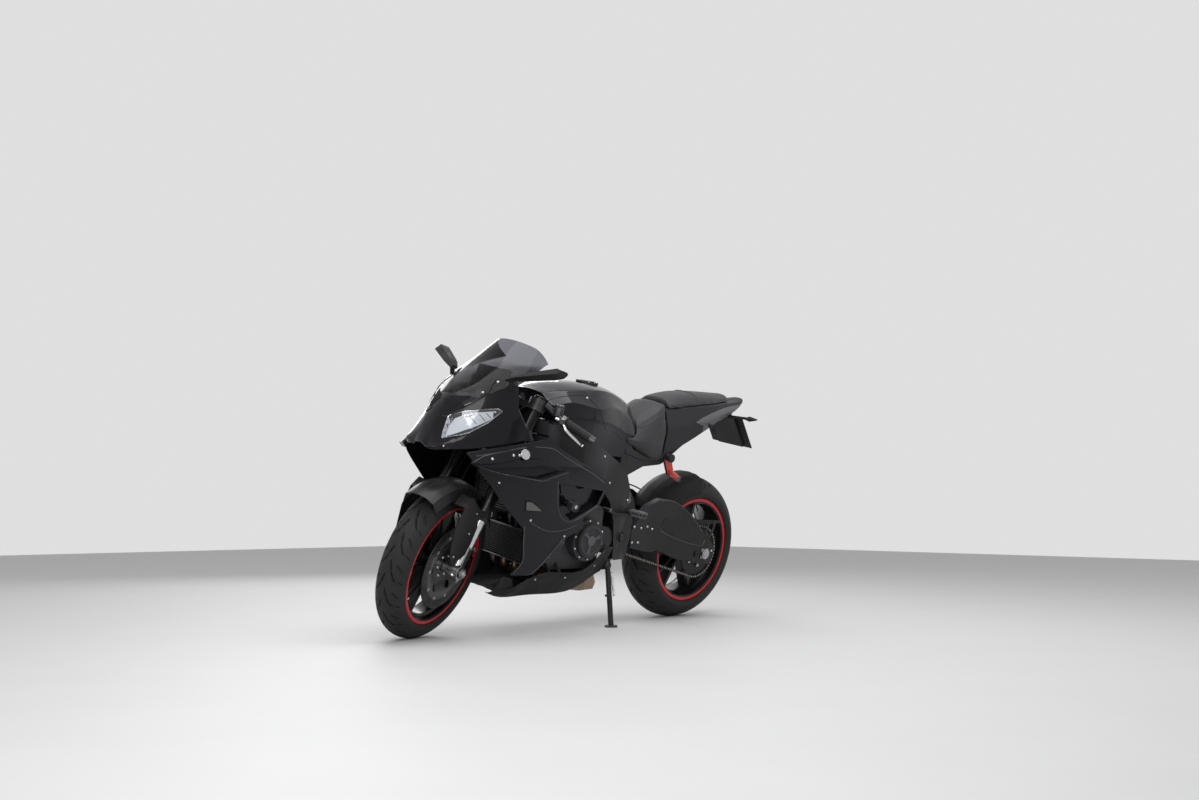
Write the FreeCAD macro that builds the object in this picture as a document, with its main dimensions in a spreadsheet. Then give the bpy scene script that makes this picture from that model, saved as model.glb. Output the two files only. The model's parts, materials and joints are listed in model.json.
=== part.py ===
import FreeCAD, Part
import math
import os
import Sketcher
from FreeCAD import Placement, Rotation, Vector
from types import SimpleNamespace

# A sport motorcycle with full fairings, leaning on its side stand with the
# bars turned to the left stop. It is drawn upright: x forward from the rear
# axle, y to the rider's left, z up from the ground, in millimetres.

doc = FreeCAD.newDocument("sport_bike")

# Driving dimensions, in millimetres and degrees: name, value
SIZES = (
    ("wheelbase", 1423), ("rake_angle", 24), ("clamp_offset", 32),
    ("lean_angle", 12.4), ("steering_lock", 21),
    ("front_radius", 300), ("front_width", 120), ("front_shoulder_drop", 52),
    ("rear_radius", 320), ("rear_width", 190), ("rear_shoulder_drop", 65),
    ("tyre_wall", 9), ("bead_seat_radius", 217), ("flange_height", 14),
    ("front_rim_half", 50), ("rear_rim_half", 81), ("rim_wall", 6), ("spoke_count", 5),
    ("front_hub_radius", 32), ("front_hub_half", 45), ("front_axle_radius", 12),
    ("rear_hub_radius", 46), ("rear_hub_half", 60), ("rear_axle_radius", 14),
    ("front_disc_radius", 160), ("front_disc_inner", 126), ("front_disc_place", 66),
    ("rear_disc_radius", 110), ("rear_disc_inner", 72), ("rear_disc_place", 90),
    ("disc_thickness", 5), ("running_gap", 1.5),
    ("chain_pitch", 15.875), ("chain_plane", 109), ("chain_inner_half", 5), ("link_plate", 4),
    ("link_height", 13), ("rear_teeth", 45), ("front_teeth", 17), ("sprocket_thickness", 6),
    ("front_sprocket_x", 640), ("front_sprocket_z", 408),
    ("fork_half_spread", 103), ("upper_tube_radius", 27), ("lower_tube_radius", 21.5),
    ("upper_tube_foot", 222), ("upper_tube_top", 712), ("lower_tube_foot", 60), ("foot_radius", 27),
    ("lower_clamp_place", 490), ("lower_clamp_height", 34),
    ("upper_clamp_place", 676), ("upper_clamp_height", 24),
    ("head_tube_radius", 36), ("stem_radius", 15),
    ("bar_radius", 11), ("grip_radius", 17), ("grip_length", 112), ("bar_end_length", 22),
    ("bar_end_bore", 7), ("bar_end_depth", 40),
    ("mudguard_gap", 9), ("panel_wall", 3), ("panel_gap", 0.5),
    ("spar_thickness", 30), ("pivot_x", 565), ("pivot_z", 405), ("pivot_radius", 28), ("pivot_bolt_radius", 12),
    ("pivot_half", 112), ("plate_inner", 118), ("plate_outer", 150),
    ("left_arm_inner", 123), ("left_arm_outer", 152), ("right_arm_inner", 105), ("right_arm_outer", 140),
    ("spool_bore", 4), ("spool_depth", 25),
    ("stand_x", 608), ("stand_y", 140), ("stand_z", 286), ("stand_radius", 11),
    ("stand_foot_radius", 26), ("stand_foot_height", 8), ("stand_pin_radius", 6),
    ("hugger_gap", 12), ("seat_gap", 0.5),
    ("cap_radius", 46), ("cap_height", 10), ("neck_radius", 24), ("neck_depth", 45),
    ("screen_wall", 3), ("collector_half", 96), ("header_radius", 15), ("wheel_clearance", 8),
    ("round_lamp_radius", 42), ("spring_wire", 5.5), ("spring_radius", 28), ("spring_pitch", 19),
    ("pad_radius", 13), ("cover_radius", 85), ("recess_depth", 26),
    ("origin_x", 695.3), ("origin_y", 192.5),
)

sheet = doc.addObject("Spreadsheet::Sheet", "Sizes")
for row, (alias, value) in enumerate(SIZES, start=1):
    sheet.set("A%d" % row, alias)
    sheet.set("B%d" % row, str(value))
    sheet.setAlias("B%d" % row, alias)
doc.recompute()
S = SimpleNamespace(**{alias: float(sheet.get(alias)) for alias, _ in SIZES})


# Places that follow from the sizes
rake = math.radians(S.rake_angle)
UP_FORK = Vector(-math.sin(rake), 0, math.cos(rake))
trail = (S.front_radius * math.sin(rake) - S.clamp_offset) / math.cos(rake)
FRONT_AXLE = Vector(S.wheelbase, 0, S.front_radius)
REAR_AXLE = Vector(0, 0, S.rear_radius)
PIVOT = Vector(S.pivot_x, 0, S.pivot_z)
STEER_FOOT = Vector(S.wheelbase + trail, 0, 0)
STEER = Placement(Vector(), Rotation(UP_FORK, S.steering_lock), STEER_FOOT)
SIDEWAYS = Vector(0, 1, 0)


def crown_radius(width, drop):
    """Radius of the tread's arc from its width and how far its edges lie inside the tyre's radius."""
    return (drop ** 2 + (width / 2) ** 2) / (2 * drop)


def lowest_point(placement, centre, radius, crown):
    """Height of the lowest point of a tyre whose axle lies along y before the placement."""
    axle = placement.Rotation.multVec(SIDEWAYS)
    height = placement.multVec(centre).z
    return height - (radius - crown) * math.sqrt(1 - axle.z ** 2) - crown


def parked():
    """Placement that leans the machine to its left with both tyres on the ground."""
    place = Placement(Vector(), Rotation(Vector(1, 0, 0), -S.lean_angle))
    for _ in range(4):
        front = lowest_point(place * STEER, FRONT_AXLE, S.front_radius,
                             crown_radius(S.front_width, S.front_shoulder_drop))
        rear = lowest_point(place, REAR_AXLE, S.rear_radius,
                            crown_radius(S.rear_width, S.rear_shoulder_drop))
        pitch = math.degrees(math.atan2(front - rear, S.wheelbase))
        place = Placement(Vector(0, 0, -rear), Rotation(SIDEWAYS, pitch)) * place
    place.Base = place.Base - Vector(S.origin_x, S.origin_y, 0)
    return place


LEAN = parked()
STEERED = LEAN * STEER
PARTS = []


def node(name, shape, place=LEAN):
    """Adds a sub-part whose shape is drawn upright and straight ahead."""
    feature = doc.addObject("Part::Feature", name)
    feature.Label = name
    feature.Shape = shape
    feature.Placement = place * shape.Placement
    PARTS.append(feature)
    return feature


# Basic forms

def outline(points):
    return Part.makePolygon(list(points) + [points[0]])


def side_plate(points, low, high):
    """Plate with a side outline of (x, z) points between two values of y."""
    face = Part.Face(outline([Vector(x, low, z) for x, z in points]))
    return face.extrude(Vector(0, high - low, 0))


def plan_plate(points, low, high):
    """Plate with a plan outline of (x, y) points between two heights."""
    face = Part.Face(outline([Vector(x, y, low) for x, y in points]))
    return face.extrude(Vector(0, 0, high - low))


def front_plate(points, low, high):
    """Plate with an outline of (y, z) points, seen from the front, between two values of x."""
    face = Part.Face(outline([Vector(low, y, z) for y, z in points]))
    return face.extrude(Vector(high - low, 0, 0))


def rod(start, end, radius, bore=0):
    run = end - start
    body = Part.makeCylinder(radius, run.Length, start, run)
    if bore:
        body = body.cut(Part.makeCylinder(bore, run.Length, start, run))
    return body


def cross_disc(centre, radius, low, high, bore=0):
    """Round piece along y about a centre, between two values of y."""
    start = Vector(centre.x, low, centre.z)
    return rod(start, start + Vector(0, high - low, 0), radius, bore)


def lathe(profile, centre=Vector(), angle=360):
    """Ring about an axle along y, from (y, radius) points."""
    face = Part.Face(outline([Vector(0, y, radius) for y, radius in profile]))
    ring = face.revolve(Vector(), SIDEWAYS, angle)
    ring.translate(centre)
    return ring


def mirrored(shape):
    return shape.mirror(Vector(), SIDEWAYS)


def paired(shape):
    return Part.makeCompound([shape, mirrored(shape)])


def joined(*shapes):
    """One solid where the shapes meet, or a group of solids where they do not."""
    whole = shapes[0].multiFuse(list(shapes[1:])) if len(shapes) > 1 else shapes[0]
    return whole.removeSplitter()


def bent_tube(points, radius, bend, bore=0):
    """Round tube along straight runs joined by tangent arcs."""
    edges = []
    start = points[0]
    for before, corner, after in zip(points, points[1:], points[2:]):
        inward = (before - corner).normalize()
        onward = (after - corner).normalize()
        half = inward.getAngle(onward) / 2
        reach = bend / math.tan(half)
        first = corner + inward * reach
        last = corner + onward * reach
        middle = corner + (inward + onward).normalize() * (bend / math.sin(half) - bend)
        edges.append(Part.makeLine(start, first))
        edges.append(Part.Arc(first, middle, last).toShape())
        start = last
    edges.append(Part.makeLine(start, points[-1]))
    path = Part.Wire(edges)
    along = points[1] - points[0]

    def swept(size):
        ring = Part.Wire(Part.makeCircle(size, points[0], along))
        return path.makePipeShell([ring], True, False)

    body = swept(radius)
    return body.cut(swept(bore)) if bore else body


def offset_line(points, distance):
    """The (y, z) line moved to its left by a distance, with mitred corners."""
    moved = []
    for place, (y, z) in enumerate(points):
        normals = []
        for first, second in ((place - 1, place), (place, place + 1)):
            if first >= 0 and second < len(points):
                run_y = points[second][0] - points[first][0]
                run_z = points[second][1] - points[first][1]
                length = math.hypot(run_y, run_z)
                normals.append((-run_z / length, run_y / length))
        normal_y = sum(n[0] for n in normals)
        normal_z = sum(n[1] for n in normals)
        scale = distance * len(normals) / (normal_y ** 2 + normal_z ** 2)
        moved.append((y + normal_y * scale, z + normal_z * scale))
    return moved


def crowned(x, line):
    """Closed section whose points on the middle plane are the tops of arcs between their neighbours."""
    points = [Vector(x, y, z) for y, z in line]
    edges = []
    place = 0
    while place < len(points):
        start, middle, finish = (points[(place + step) % len(points)] for step in range(3))
        if abs(middle.y) < 1e-6:
            edges.append(Part.Arc(start, middle, finish).toShape())
            place += 2
        else:
            edges.append(Part.makeLine(start, middle))
            place += 1
    return Part.Wire(edges)


def loft(sections, crown=True):
    """Closed form through sections of (x, [(y, z), ...])."""
    if crown:
        wires = [crowned(x, line) for x, line in sections]
    else:
        wires = [outline([Vector(x, y, z) for y, z in line]) for x, line in sections]
    return Part.makeLoft(wires, True, False)


def skin(sections, inner, outer, crown=True):
    """Shell that follows sections of open lines, from one offset of them to another."""
    return loft([(x, offset_line(line, outer) + offset_line(line, inner)[::-1])
                 for x, line in sections], crown)


def largest(shape):
    return max(shape.Solids, key=lambda solid: solid.Volume)


def full_width(line):
    """The half section's line from the middle outwards, completed to the right side."""
    return [(-y, z) for y, z in line[:0:-1]] + list(line) if line[0][0] == 0 else \
        [(-y, z) for y, z in line[::-1]] + list(line)


def cut_to(shape, *others):
    """Shape with its seat cut by what it touches."""
    for other in others:
        shape = shape.cut(other)
    return shape


# Wheels, drawn about their own axle

def origin_part(body, role):
    return [item for item in body.Origin.OriginFeatures if item.Role == role][0]


def new_body(name, place):
    body = doc.addObject("PartDesign::Body", name)
    body.Label = name
    body.Placement = place
    PARTS.append(body)
    return body


def sketch_on(body, name, role):
    sketch = body.newObject("Sketcher::SketchObject", name)
    sketch.AttachmentSupport = [(origin_part(body, role), "")]
    sketch.MapMode = "FlatFace"
    return sketch


def draw_line(sketch, points):
    for (x0, y0), (x1, y1) in zip(points, points[1:] + points[:1]):
        sketch.addGeometry(Part.LineSegment(Vector(x0, y0, 0), Vector(x1, y1, 0)))


def draw_circle(sketch, radius_name):
    circle = sketch.addGeometry(Part.Circle(Vector(), Vector(0, 0, 1), getattr(S, radius_name)))
    sketch.addConstraint(Sketcher.Constraint("Coincident", circle, 3, -1, 1))
    rule = sketch.addConstraint(Sketcher.Constraint("Radius", circle, getattr(S, radius_name)))
    sketch.setExpression("Constraints[%d]" % rule, "Sizes." + radius_name)


def revolved(body, name, profile):
    """Ring about the body's y axis from a sketch of (y, radius) points."""
    sketch = sketch_on(body, name + "_profile", "YZ_Plane")
    draw_line(sketch, profile)
    feature = body.newObject("PartDesign::Revolution", name)
    feature.Profile = sketch
    feature.ReferenceAxis = (sketch, ["H_Axis"])
    feature.Angle = 360
    return feature


def padded_both_ways(body, name, sketch, length_rule):
    pad = body.newObject("PartDesign::Pad", name)
    pad.Profile = sketch
    pad.setExpression("Length", length_rule)
    pad.SideType = "Symmetric"
    return pad


def polar(body, name, feature, count_rule):
    pattern = body.newObject("PartDesign::PolarPattern", name)
    pattern.Originals = [feature]
    pattern.Axis = (origin_part(body, "Y_Axis"), [""])
    pattern.Angle = 360
    pattern.setExpression("Occurrences", count_rule)
    body.Tip = pattern
    return pattern


def through_hole(body, name, sketch):
    pocket = body.newObject("PartDesign::Pocket", name)
    pocket.Profile = sketch
    pocket.Type = "ThroughAll"
    pocket.SideType = "Symmetric"
    body.Tip = pocket
    return pocket


def make_rim(end, place):
    """Cast wheel: a drop-centre hoop, a hub and forked spokes."""
    half = getattr(S, end + "_rim_half")
    hub = getattr(S, end + "_hub_radius")
    hub_half = getattr(S, end + "_hub_half")
    seat = S.bead_seat_radius
    lip = seat + S.flange_height
    wall = S.rim_wall
    well = seat - 13
    body = new_body(end + "_rim", place)
    half_profile = [(half, lip), (half - 4, lip), (half - 8, seat), (half - 25, seat - 2), (half * 0.4, well)]
    inner_profile = [(half * 0.4 + 3, well - wall), (half - 22, seat - 2 - wall), (half - 5, seat - wall),
                     (half, seat)]
    outer_side = [(-y, r) for y, r in half_profile] + half_profile[::-1]
    inner_side = inner_profile[::-1] + [(-y, r) for y, r in inner_profile]
    revolved(body, end + "_hoop", outer_side + inner_side)
    hub_waist = hub - 8
    revolved(body, end + "_hub", [(-hub_half, 0.5 * hub), (-hub_half, hub), (-hub_half + 12, hub),
                                  (-18, hub_waist), (18, hub_waist), (hub_half - 12, hub),
                                  (hub_half, hub), (hub_half, 0.5 * hub)])
    doc.recompute()
    spoke = sketch_on(body, end + "_spoke_outline", "XZ_Plane")
    tip = well - wall + 1.5
    spread = math.radians(12)
    left_tip = [(tip * math.sin(spread + a), tip * math.cos(spread + a)) for a in (-0.035, 0.035)]
    left_blade = [(2, hub_waist - 6), left_tip[0], left_tip[1], (hub * 0.45, hub_waist - 10)]
    draw_line(spoke, left_blade)
    draw_line(spoke, [(-x, z) for x, z in left_blade])
    pad = padded_both_ways(body, end + "_spoke", spoke, "2 * Sizes.%s_rim_half * 0.3" % end)
    doc.recompute()
    polar(body, end + "_spokes", pad, "Sizes.spoke_count")
    doc.recompute()
    bore = sketch_on(body, end + "_bore_outline", "XZ_Plane")
    draw_circle(bore, end + "_axle_radius")
    through_hole(body, end + "_bore", bore)
    return body


def tyre_profile(radius, width, drop, rim_half):
    """Half sections of the outside and inside of a tyre, as (y, radius) points on its arcs."""
    shoulder = radius - drop
    bead = S.bead_seat_radius + 0.3
    lip = S.bead_seat_radius + S.flange_height + 1
    half = width / 2
    wall = S.tyre_wall
    return SimpleNamespace(
        shoulder=(half, shoulder), crown=(0, radius),
        flank=(half - 0.5, (shoulder + lip) / 2 + 4), foot=(rim_half + 0.5, lip),
        toe=(rim_half - 4.4, lip), seat_out=(rim_half - 8.4, bead), seat_in=(rim_half - 18, bead),
        inner_flank=(rim_half - 12, lip + 4), inner_shoulder=(half - wall, shoulder - 1),
        inner_crown=(0, radius - wall))


def make_tyre(end, place):
    """Road tyre: round crown, sidewalls and beads, as one turned ring of arcs."""
    radius = getattr(S, end + "_radius")
    profile = tyre_profile(radius, getattr(S, end + "_width"), getattr(S, end + "_shoulder_drop"),
                           getattr(S, end + "_rim_half"))
    right = SimpleNamespace(**{key: (-y, r) for key, (y, r) in vars(profile).items()})
    body = new_body(end + "_tyre", place)
    sketch = sketch_on(body, end + "_tyre_profile", "YZ_Plane")
    arcs = ((right.shoulder, profile.crown, profile.shoulder), (profile.shoulder, profile.flank, profile.foot),
            (profile.seat_in, profile.inner_flank, profile.inner_shoulder),
            (profile.inner_shoulder, profile.inner_crown, right.inner_shoulder),
            (right.inner_shoulder, right.inner_flank, right.seat_in),
            (right.foot, right.flank, right.shoulder))
    lines = ((profile.foot, profile.toe), (profile.toe, profile.seat_out), (profile.seat_out, profile.seat_in),
             (right.seat_in, right.seat_out), (right.seat_out, right.toe), (right.toe, right.foot))
    for points in arcs:
        sketch.addGeometry(Part.Arc(*[Vector(y, r, 0) for y, r in points]))
    for start, finish in lines:
        sketch.addGeometry(Part.LineSegment(Vector(*start, 0), Vector(*finish, 0)))
    feature = body.newObject("PartDesign::Revolution", end + "_carcass")
    feature.Profile = sketch
    feature.ReferenceAxis = (sketch, ["H_Axis"])
    feature.Angle = 360
    return body


def brake_disc(inner, outer, middle):
    """Flat braking ring."""
    half = S.disc_thickness / 2
    return lathe([(middle - half, inner), (middle + half, inner), (middle + half, outer), (middle - half, outer)])


def make_front_discs():
    """Two braking rings, each on a dished carrier against the hub's end."""
    hub_end = S.front_hub_half
    place = S.front_disc_place
    inner = S.front_disc_inner
    carrier = lathe([(hub_end, 21), (hub_end + 5, 21), (hub_end + 5, 58), (place + 2, inner - 14),
                     (place + 2, inner + 4), (place - 2, inner + 4), (place - 2, inner - 16), (hub_end, 60)])
    window = [cross_disc(Vector(88 * math.cos(a), 0, 88 * math.sin(a)), 15, hub_end, place + 4)
              for a in [math.radians(60 * step) for step in range(6)]]
    left = joined(brake_disc(inner, S.front_disc_radius, place), carrier.cut(Part.makeCompound(window)))
    node("front_discs", paired(left), STEERED * Placement(FRONT_AXLE, Rotation()))


def make_rear_disc():
    """Single braking ring on the right of the rear hub."""
    hub_end = S.rear_hub_half
    place = S.rear_disc_place
    inner = S.rear_disc_inner
    carrier = lathe([(hub_end, 24), (place + 2, 24), (place + 2, inner + 4), (place - 2, inner + 4),
                     (place - 2, 40), (hub_end, 40)])
    left = joined(brake_disc(inner, S.rear_disc_radius, place), carrier)
    node("rear_disc", mirrored(left), LEAN * Placement(REAR_AXLE, Rotation()))


def pitch_radius(teeth):
    return S.chain_pitch / (2 * math.sin(math.pi / teeth))


def toothed_plate(teeth, low, high):
    """Sprocket plate whose teeth end just inside the chain's rollers."""
    tip = pitch_radius(teeth) - S.chain_inner_half - 0.8
    root = tip - 4
    points = []
    for tooth in range(int(teeth)):
        for share, radius in ((-0.32, root), (-0.14, tip), (0.14, tip), (0.32, root)):
            angle = 2 * math.pi * (tooth + share) / teeth
            points.append((radius * math.cos(angle), radius * math.sin(angle)))
    return side_plate(points, low, high)


def make_rear_sprocket():
    low = S.chain_plane - S.sprocket_thickness / 2
    high = S.chain_plane + S.sprocket_thickness / 2
    hub_end = S.rear_hub_half
    plate = toothed_plate(S.rear_teeth, low, high).cut(cross_disc(Vector(), 70, low, high))
    carrier = lathe([(hub_end, 24), (high - 2, 24), (high - 2, 60), (high, 60), (high, 74), (low, 74),
                     (low, 62), (hub_end, 52)])
    node("rear_sprocket", joined(plate, carrier), LEAN * Placement(REAR_AXLE, Rotation()))


def belt_face(reach, low):
    """Face inside the chain's loop, widened by a reach, at one value of y."""
    small = pitch_radius(S.front_teeth) + reach
    large = pitch_radius(S.rear_teeth) + reach
    front = Vector(S.front_sprocket_x, low, S.front_sprocket_z)
    rear = Vector(0, low, S.rear_radius)
    run = front - rear
    slope = math.atan2(run.z, run.x)
    turn = math.acos((large - small) / run.Length)

    def on_circle(centre, radius, angle):
        return centre + Vector(radius * math.cos(angle), 0, radius * math.sin(angle))

    top, bottom = slope + turn, slope - turn
    rear_top, rear_low = on_circle(rear, large, top), on_circle(rear, large, bottom)
    front_top, front_low = on_circle(front, small, top), on_circle(front, small, bottom)
    wire = Part.Wire([Part.makeLine(rear_top, front_top),
                      Part.Arc(front_top, on_circle(front, small, slope), front_low).toShape(),
                      Part.makeLine(front_low, rear_low),
                      Part.Arc(rear_low, on_circle(rear, large, slope + math.pi), rear_top).toShape()])
    return Part.Face(wire)


def make_chain():
    """Closed loop with outer plates on both sides of its rollers."""
    half = S.link_height / 2
    inner = S.chain_inner_half
    width = S.chain_inner_half

    def band(reach, low, high):
        across = Vector(0, high - low, 0)
        return belt_face(reach, low).extrude(across).cut(belt_face(-reach, low).extrude(across))

    low, high = S.chain_plane - width, S.chain_plane + width
    node("chain", joined(band(half, low - S.link_plate, low), band(inner, low, high),
                         band(half, high, high + S.link_plate)))


def make_wheels():
    front_place = STEERED * Placement(FRONT_AXLE, Rotation())
    rear_place = LEAN * Placement(REAR_AXLE, Rotation())
    make_rim("front", front_place)
    make_tyre("front", front_place)
    make_front_discs()
    make_rim("rear", rear_place)
    make_tyre("rear", rear_place)
    make_rear_disc()
    make_rear_sprocket()


# Steered pieces

def up_leg(distance, y=None):
    """Point on the left fork leg at a distance above the front axle."""
    return FRONT_AXLE + UP_FORK * distance + Vector(0, S.fork_half_spread if y is None else y, 0)


def on_stem(distance):
    """Point on the steering axis beside the fork leg's point at a distance."""
    return up_leg(distance, 0) - Vector(math.cos(rake), 0, math.sin(rake)) * S.clamp_offset


def make_fork_tubes():
    tube = rod(up_leg(S.upper_tube_foot), up_leg(S.upper_tube_top), S.upper_tube_radius, S.lower_tube_radius + 0.3)
    cap = rod(up_leg(S.upper_tube_top), up_leg(S.upper_tube_top + 8), S.upper_tube_radius - 3)
    ring = rod(up_leg(S.upper_tube_foot), up_leg(S.upper_tube_foot + 24), S.upper_tube_radius + 2.5,
               S.upper_tube_radius - 1)
    node("fork_tubes", paired(joined(tube, cap, ring)), STEERED)


def make_fork_sliders():
    """Bright inner tubes with the axle feet and the calipers' ears."""
    tube = rod(up_leg(S.lower_tube_foot - 20), up_leg(S.upper_tube_foot + 60), S.lower_tube_radius)
    foot = rod(up_leg(-22), up_leg(S.lower_tube_foot + 34), S.foot_radius)
    nose = cross_disc(FRONT_AXLE, 31, 84, 126)
    ear = [(FRONT_AXLE.x + r * math.cos(math.radians(a)), FRONT_AXLE.z + r * math.sin(math.radians(a)))
           for r, a in ((60, 118), (120, 124), (128, 142), (118, 164), (96, 170), (60, 160), (30, 150))]
    foot = joined(tube, foot, nose, side_plate(ear, 84.3, 98))
    bore = cross_disc(FRONT_AXLE, S.front_axle_radius + 0.2, 60, 150)
    node("fork_sliders", paired(foot.cut(bore)), STEERED)


def make_front_axle():
    axle = doc.addObject("Part::Cylinder", "front_axle_bar")
    axle.setExpression("Radius", "Sizes.front_axle_radius - 0.5")
    axle.setExpression("Height", "2 * Sizes.fork_half_spread + 2 * Sizes.foot_radius + 22")
    axle.setExpression("Placement.Base.z", "-Sizes.fork_half_spread - Sizes.foot_radius - 11")
    spacers = []
    for name, side in (("left", 1), ("right", -1)):
        for kind, radius, low, high in (("spacer", "Sizes.front_axle_radius + 5", "Sizes.front_hub_half + 0.5",
                                         "Sizes.fork_half_spread - Sizes.foot_radius - 0.3"),
                                        ("nut", "Sizes.front_axle_radius + 7",
                                         "Sizes.fork_half_spread + Sizes.foot_radius + 0.3",
                                         "Sizes.fork_half_spread + Sizes.foot_radius + 9")):
            piece = doc.addObject("Part::Cylinder", "front_axle_%s_%s" % (kind, name))
            piece.setExpression("Radius", radius)
            piece.setExpression("Height", "(%s) - (%s)" % (high, low))
            piece.setExpression("Placement.Base.z", low if side > 0 else "-(%s)" % high)
            spacers.append(piece)
    whole = doc.addObject("Part::MultiFuse", "front_axle")
    whole.Label = "front_axle"
    whole.Shapes = [axle] + spacers
    whole.Placement = STEERED * Placement(FRONT_AXLE, Rotation(Vector(1, 0, 0), -90))
    PARTS.append(whole)


def make_front_calipers():
    """Four-piston calipers behind the legs, open round their discs."""
    middle = S.front_disc_place
    slot = S.disc_thickness / 2 + S.running_gap
    sector = [(r * math.cos(math.radians(a)), r * math.sin(math.radians(a)))
              for r, a in ((100, 126), (150, 124), (178, 132), (184, 147), (178, 162), (150, 170), (100, 168))]
    block = side_plate([(FRONT_AXLE.x + x, FRONT_AXLE.z + z) for x, z in sector], 50.5, 84)
    gap = cross_disc(FRONT_AXLE, S.front_disc_radius + 4, middle - slot, middle + slot)
    clear = cross_disc(FRONT_AXLE, 112, 40, middle + 6)
    pistons = [cross_disc(FRONT_AXLE + Vector(143 * math.cos(math.radians(a)), 0, 143 * math.sin(math.radians(a))),
                          17, 84, 88.5) for a in (137, 157)]
    caliper = joined(block, *pistons).cut(gap).cut(clear)
    node("front_calipers", paired(caliper), STEERED)


def make_fork_clamps():
    """Upper and lower yokes on one stem."""
    def yoke(place, height, grip, tail):
        low = place - height / 2
        body = [rod(up_leg(low, y), up_leg(low + height, y), grip)
                for y in (S.fork_half_spread, -S.fork_half_spread)]
        body.append(rod(on_stem(low), on_stem(low + height), tail))
        corners = [up_leg(low, S.fork_half_spread) + across for across in
                   (Vector(math.cos(rake), 0, math.sin(rake)) * 20, Vector(math.cos(rake), 0, math.sin(rake)) * -20)]
        back = on_stem(low) - Vector(math.cos(rake), 0, math.sin(rake)) * (tail - 4)
        points = [corners[0], corners[1], back + Vector(0, 24, 0)]
        points += [Vector(p.x, -p.y, p.z) for p in points[::-1]]
        plate = Part.Face(outline(points)).extrude(UP_FORK * height)
        bores = [rod(up_leg(low - 5, y), up_leg(low + height + 5, y), S.upper_tube_radius + 0.1)
                 for y in (S.fork_half_spread, -S.fork_half_spread)]
        return joined(plate, *body).cut(Part.makeCompound(bores))

    lower = yoke(S.lower_clamp_place, S.lower_clamp_height, 38, 30)
    upper = yoke(S.upper_clamp_place, S.upper_clamp_height, 36, 32)
    stem = rod(on_stem(S.lower_clamp_place), on_stem(S.upper_clamp_place + 26), S.stem_radius)
    nut = rod(on_stem(S.upper_clamp_place + S.upper_clamp_height / 2), on_stem(S.upper_clamp_place + 24), 22)
    node("fork_clamps", joined(lower, upper, stem, nut), STEERED)


BAR_INNER = Vector(1109, 193, 907)
BAR_OUTER = Vector(1066, 315, 868)
BAR_ALONG = (BAR_OUTER - BAR_INNER).normalize()
GRIP_START = BAR_OUTER - BAR_ALONG * S.grip_length
BAR_CLAMP = S.upper_clamp_place + S.upper_clamp_height / 2 + 1


def bar_root():
    return up_leg(BAR_CLAMP + 15) + Vector(0, 30, 0)


def make_handlebars():
    """Clip-on bars: a clamp round each tube and a bar with a weight at its end."""
    place = BAR_CLAMP
    clamp = rod(up_leg(place), up_leg(place + 22), 35, S.upper_tube_radius + 0.1)
    bar = rod(bar_root(), BAR_INNER, S.bar_radius + 2)
    long_bar = rod(BAR_INNER - BAR_ALONG * 14, BAR_OUTER + BAR_ALONG * 3, S.bar_radius)
    weight = rod(BAR_OUTER + BAR_ALONG * 0.5, BAR_OUTER + BAR_ALONG * S.bar_end_length, S.grip_radius - 1.5)
    bore = rod(BAR_OUTER + BAR_ALONG * (S.bar_end_length - S.bar_end_depth),
               BAR_OUTER + BAR_ALONG * (S.bar_end_length + 1), S.bar_end_bore)
    tube_bore = rod(up_leg(place - 4), up_leg(place + 30), S.upper_tube_radius + 0.1)
    node("handlebars", paired(joined(clamp, bar, long_bar, weight).cut(bore).cut(tube_bore)), STEERED)


def make_grips():
    sleeve = rod(GRIP_START, BAR_OUTER, S.grip_radius, S.bar_radius + 0.2)
    flange = rod(GRIP_START, GRIP_START + BAR_ALONG * 5, S.grip_radius + 6, S.bar_radius + 0.2)
    node("grips", paired(joined(sleeve, flange)), STEERED)


def make_hand_levers():
    """Lever perches with their switch blocks, fluid pots and levers."""
    block_start = GRIP_START - BAR_ALONG * 15.5
    block = rod(block_start, GRIP_START - BAR_ALONG * 0.5, 21, S.bar_radius + 0.2)
    forward = Vector(0.86, 0.30, 0.10)
    pivot = block_start + BAR_ALONG * 8 + forward * 42
    arm = rod(block_start + BAR_ALONG * 8 + forward * 14, pivot, 9)
    boss = rod(pivot - Vector(0, 0, 9), pivot + Vector(0, 0, 9), 12)
    blade = bent_tube([pivot, Vector(1150, 250, 880), Vector(1112, 318, 838)], 6, 60)
    pot = rod(pivot + Vector(-14, -30, 12), pivot + Vector(-14, -30, 46), 19)
    strut = rod(pivot, pivot + Vector(-14, -30, 16), 8)
    bars = [rod(bar_root(), BAR_INNER, S.bar_radius + 2.3),
            rod(BAR_INNER - BAR_ALONG * 20, BAR_OUTER, S.bar_radius + 0.2),
            rod(GRIP_START - BAR_ALONG * 0.3, BAR_OUTER, S.grip_radius + 7)]
    node("hand_levers", paired(cut_to(joined(block, arm, boss, blade, pot, strut), *bars)), STEERED)


def guard_shell(centre, outer, half, depth, wall, start, finish):
    """Round guard over a wheel, between two angles counted from straight ahead."""
    line = [(0, outer - wall), (half * 0.45, outer - wall - 4), (half * 0.82, outer - wall - 20),
            (half, outer - depth)]
    outside = [(0, outer), (half * 0.47, outer - 4), (half * 0.86, outer - 19), (half + wall, outer - depth)]
    profile = [(-y, r) for y, r in line[:0:-1]] + line + outside[::-1] + [(-y, r) for y, r in outside[1:]]
    shell = lathe(profile, Vector(), finish - start)
    shell.rotate(Vector(), SIDEWAYS, 90 - finish)
    shell.translate(centre)
    return shell


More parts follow.
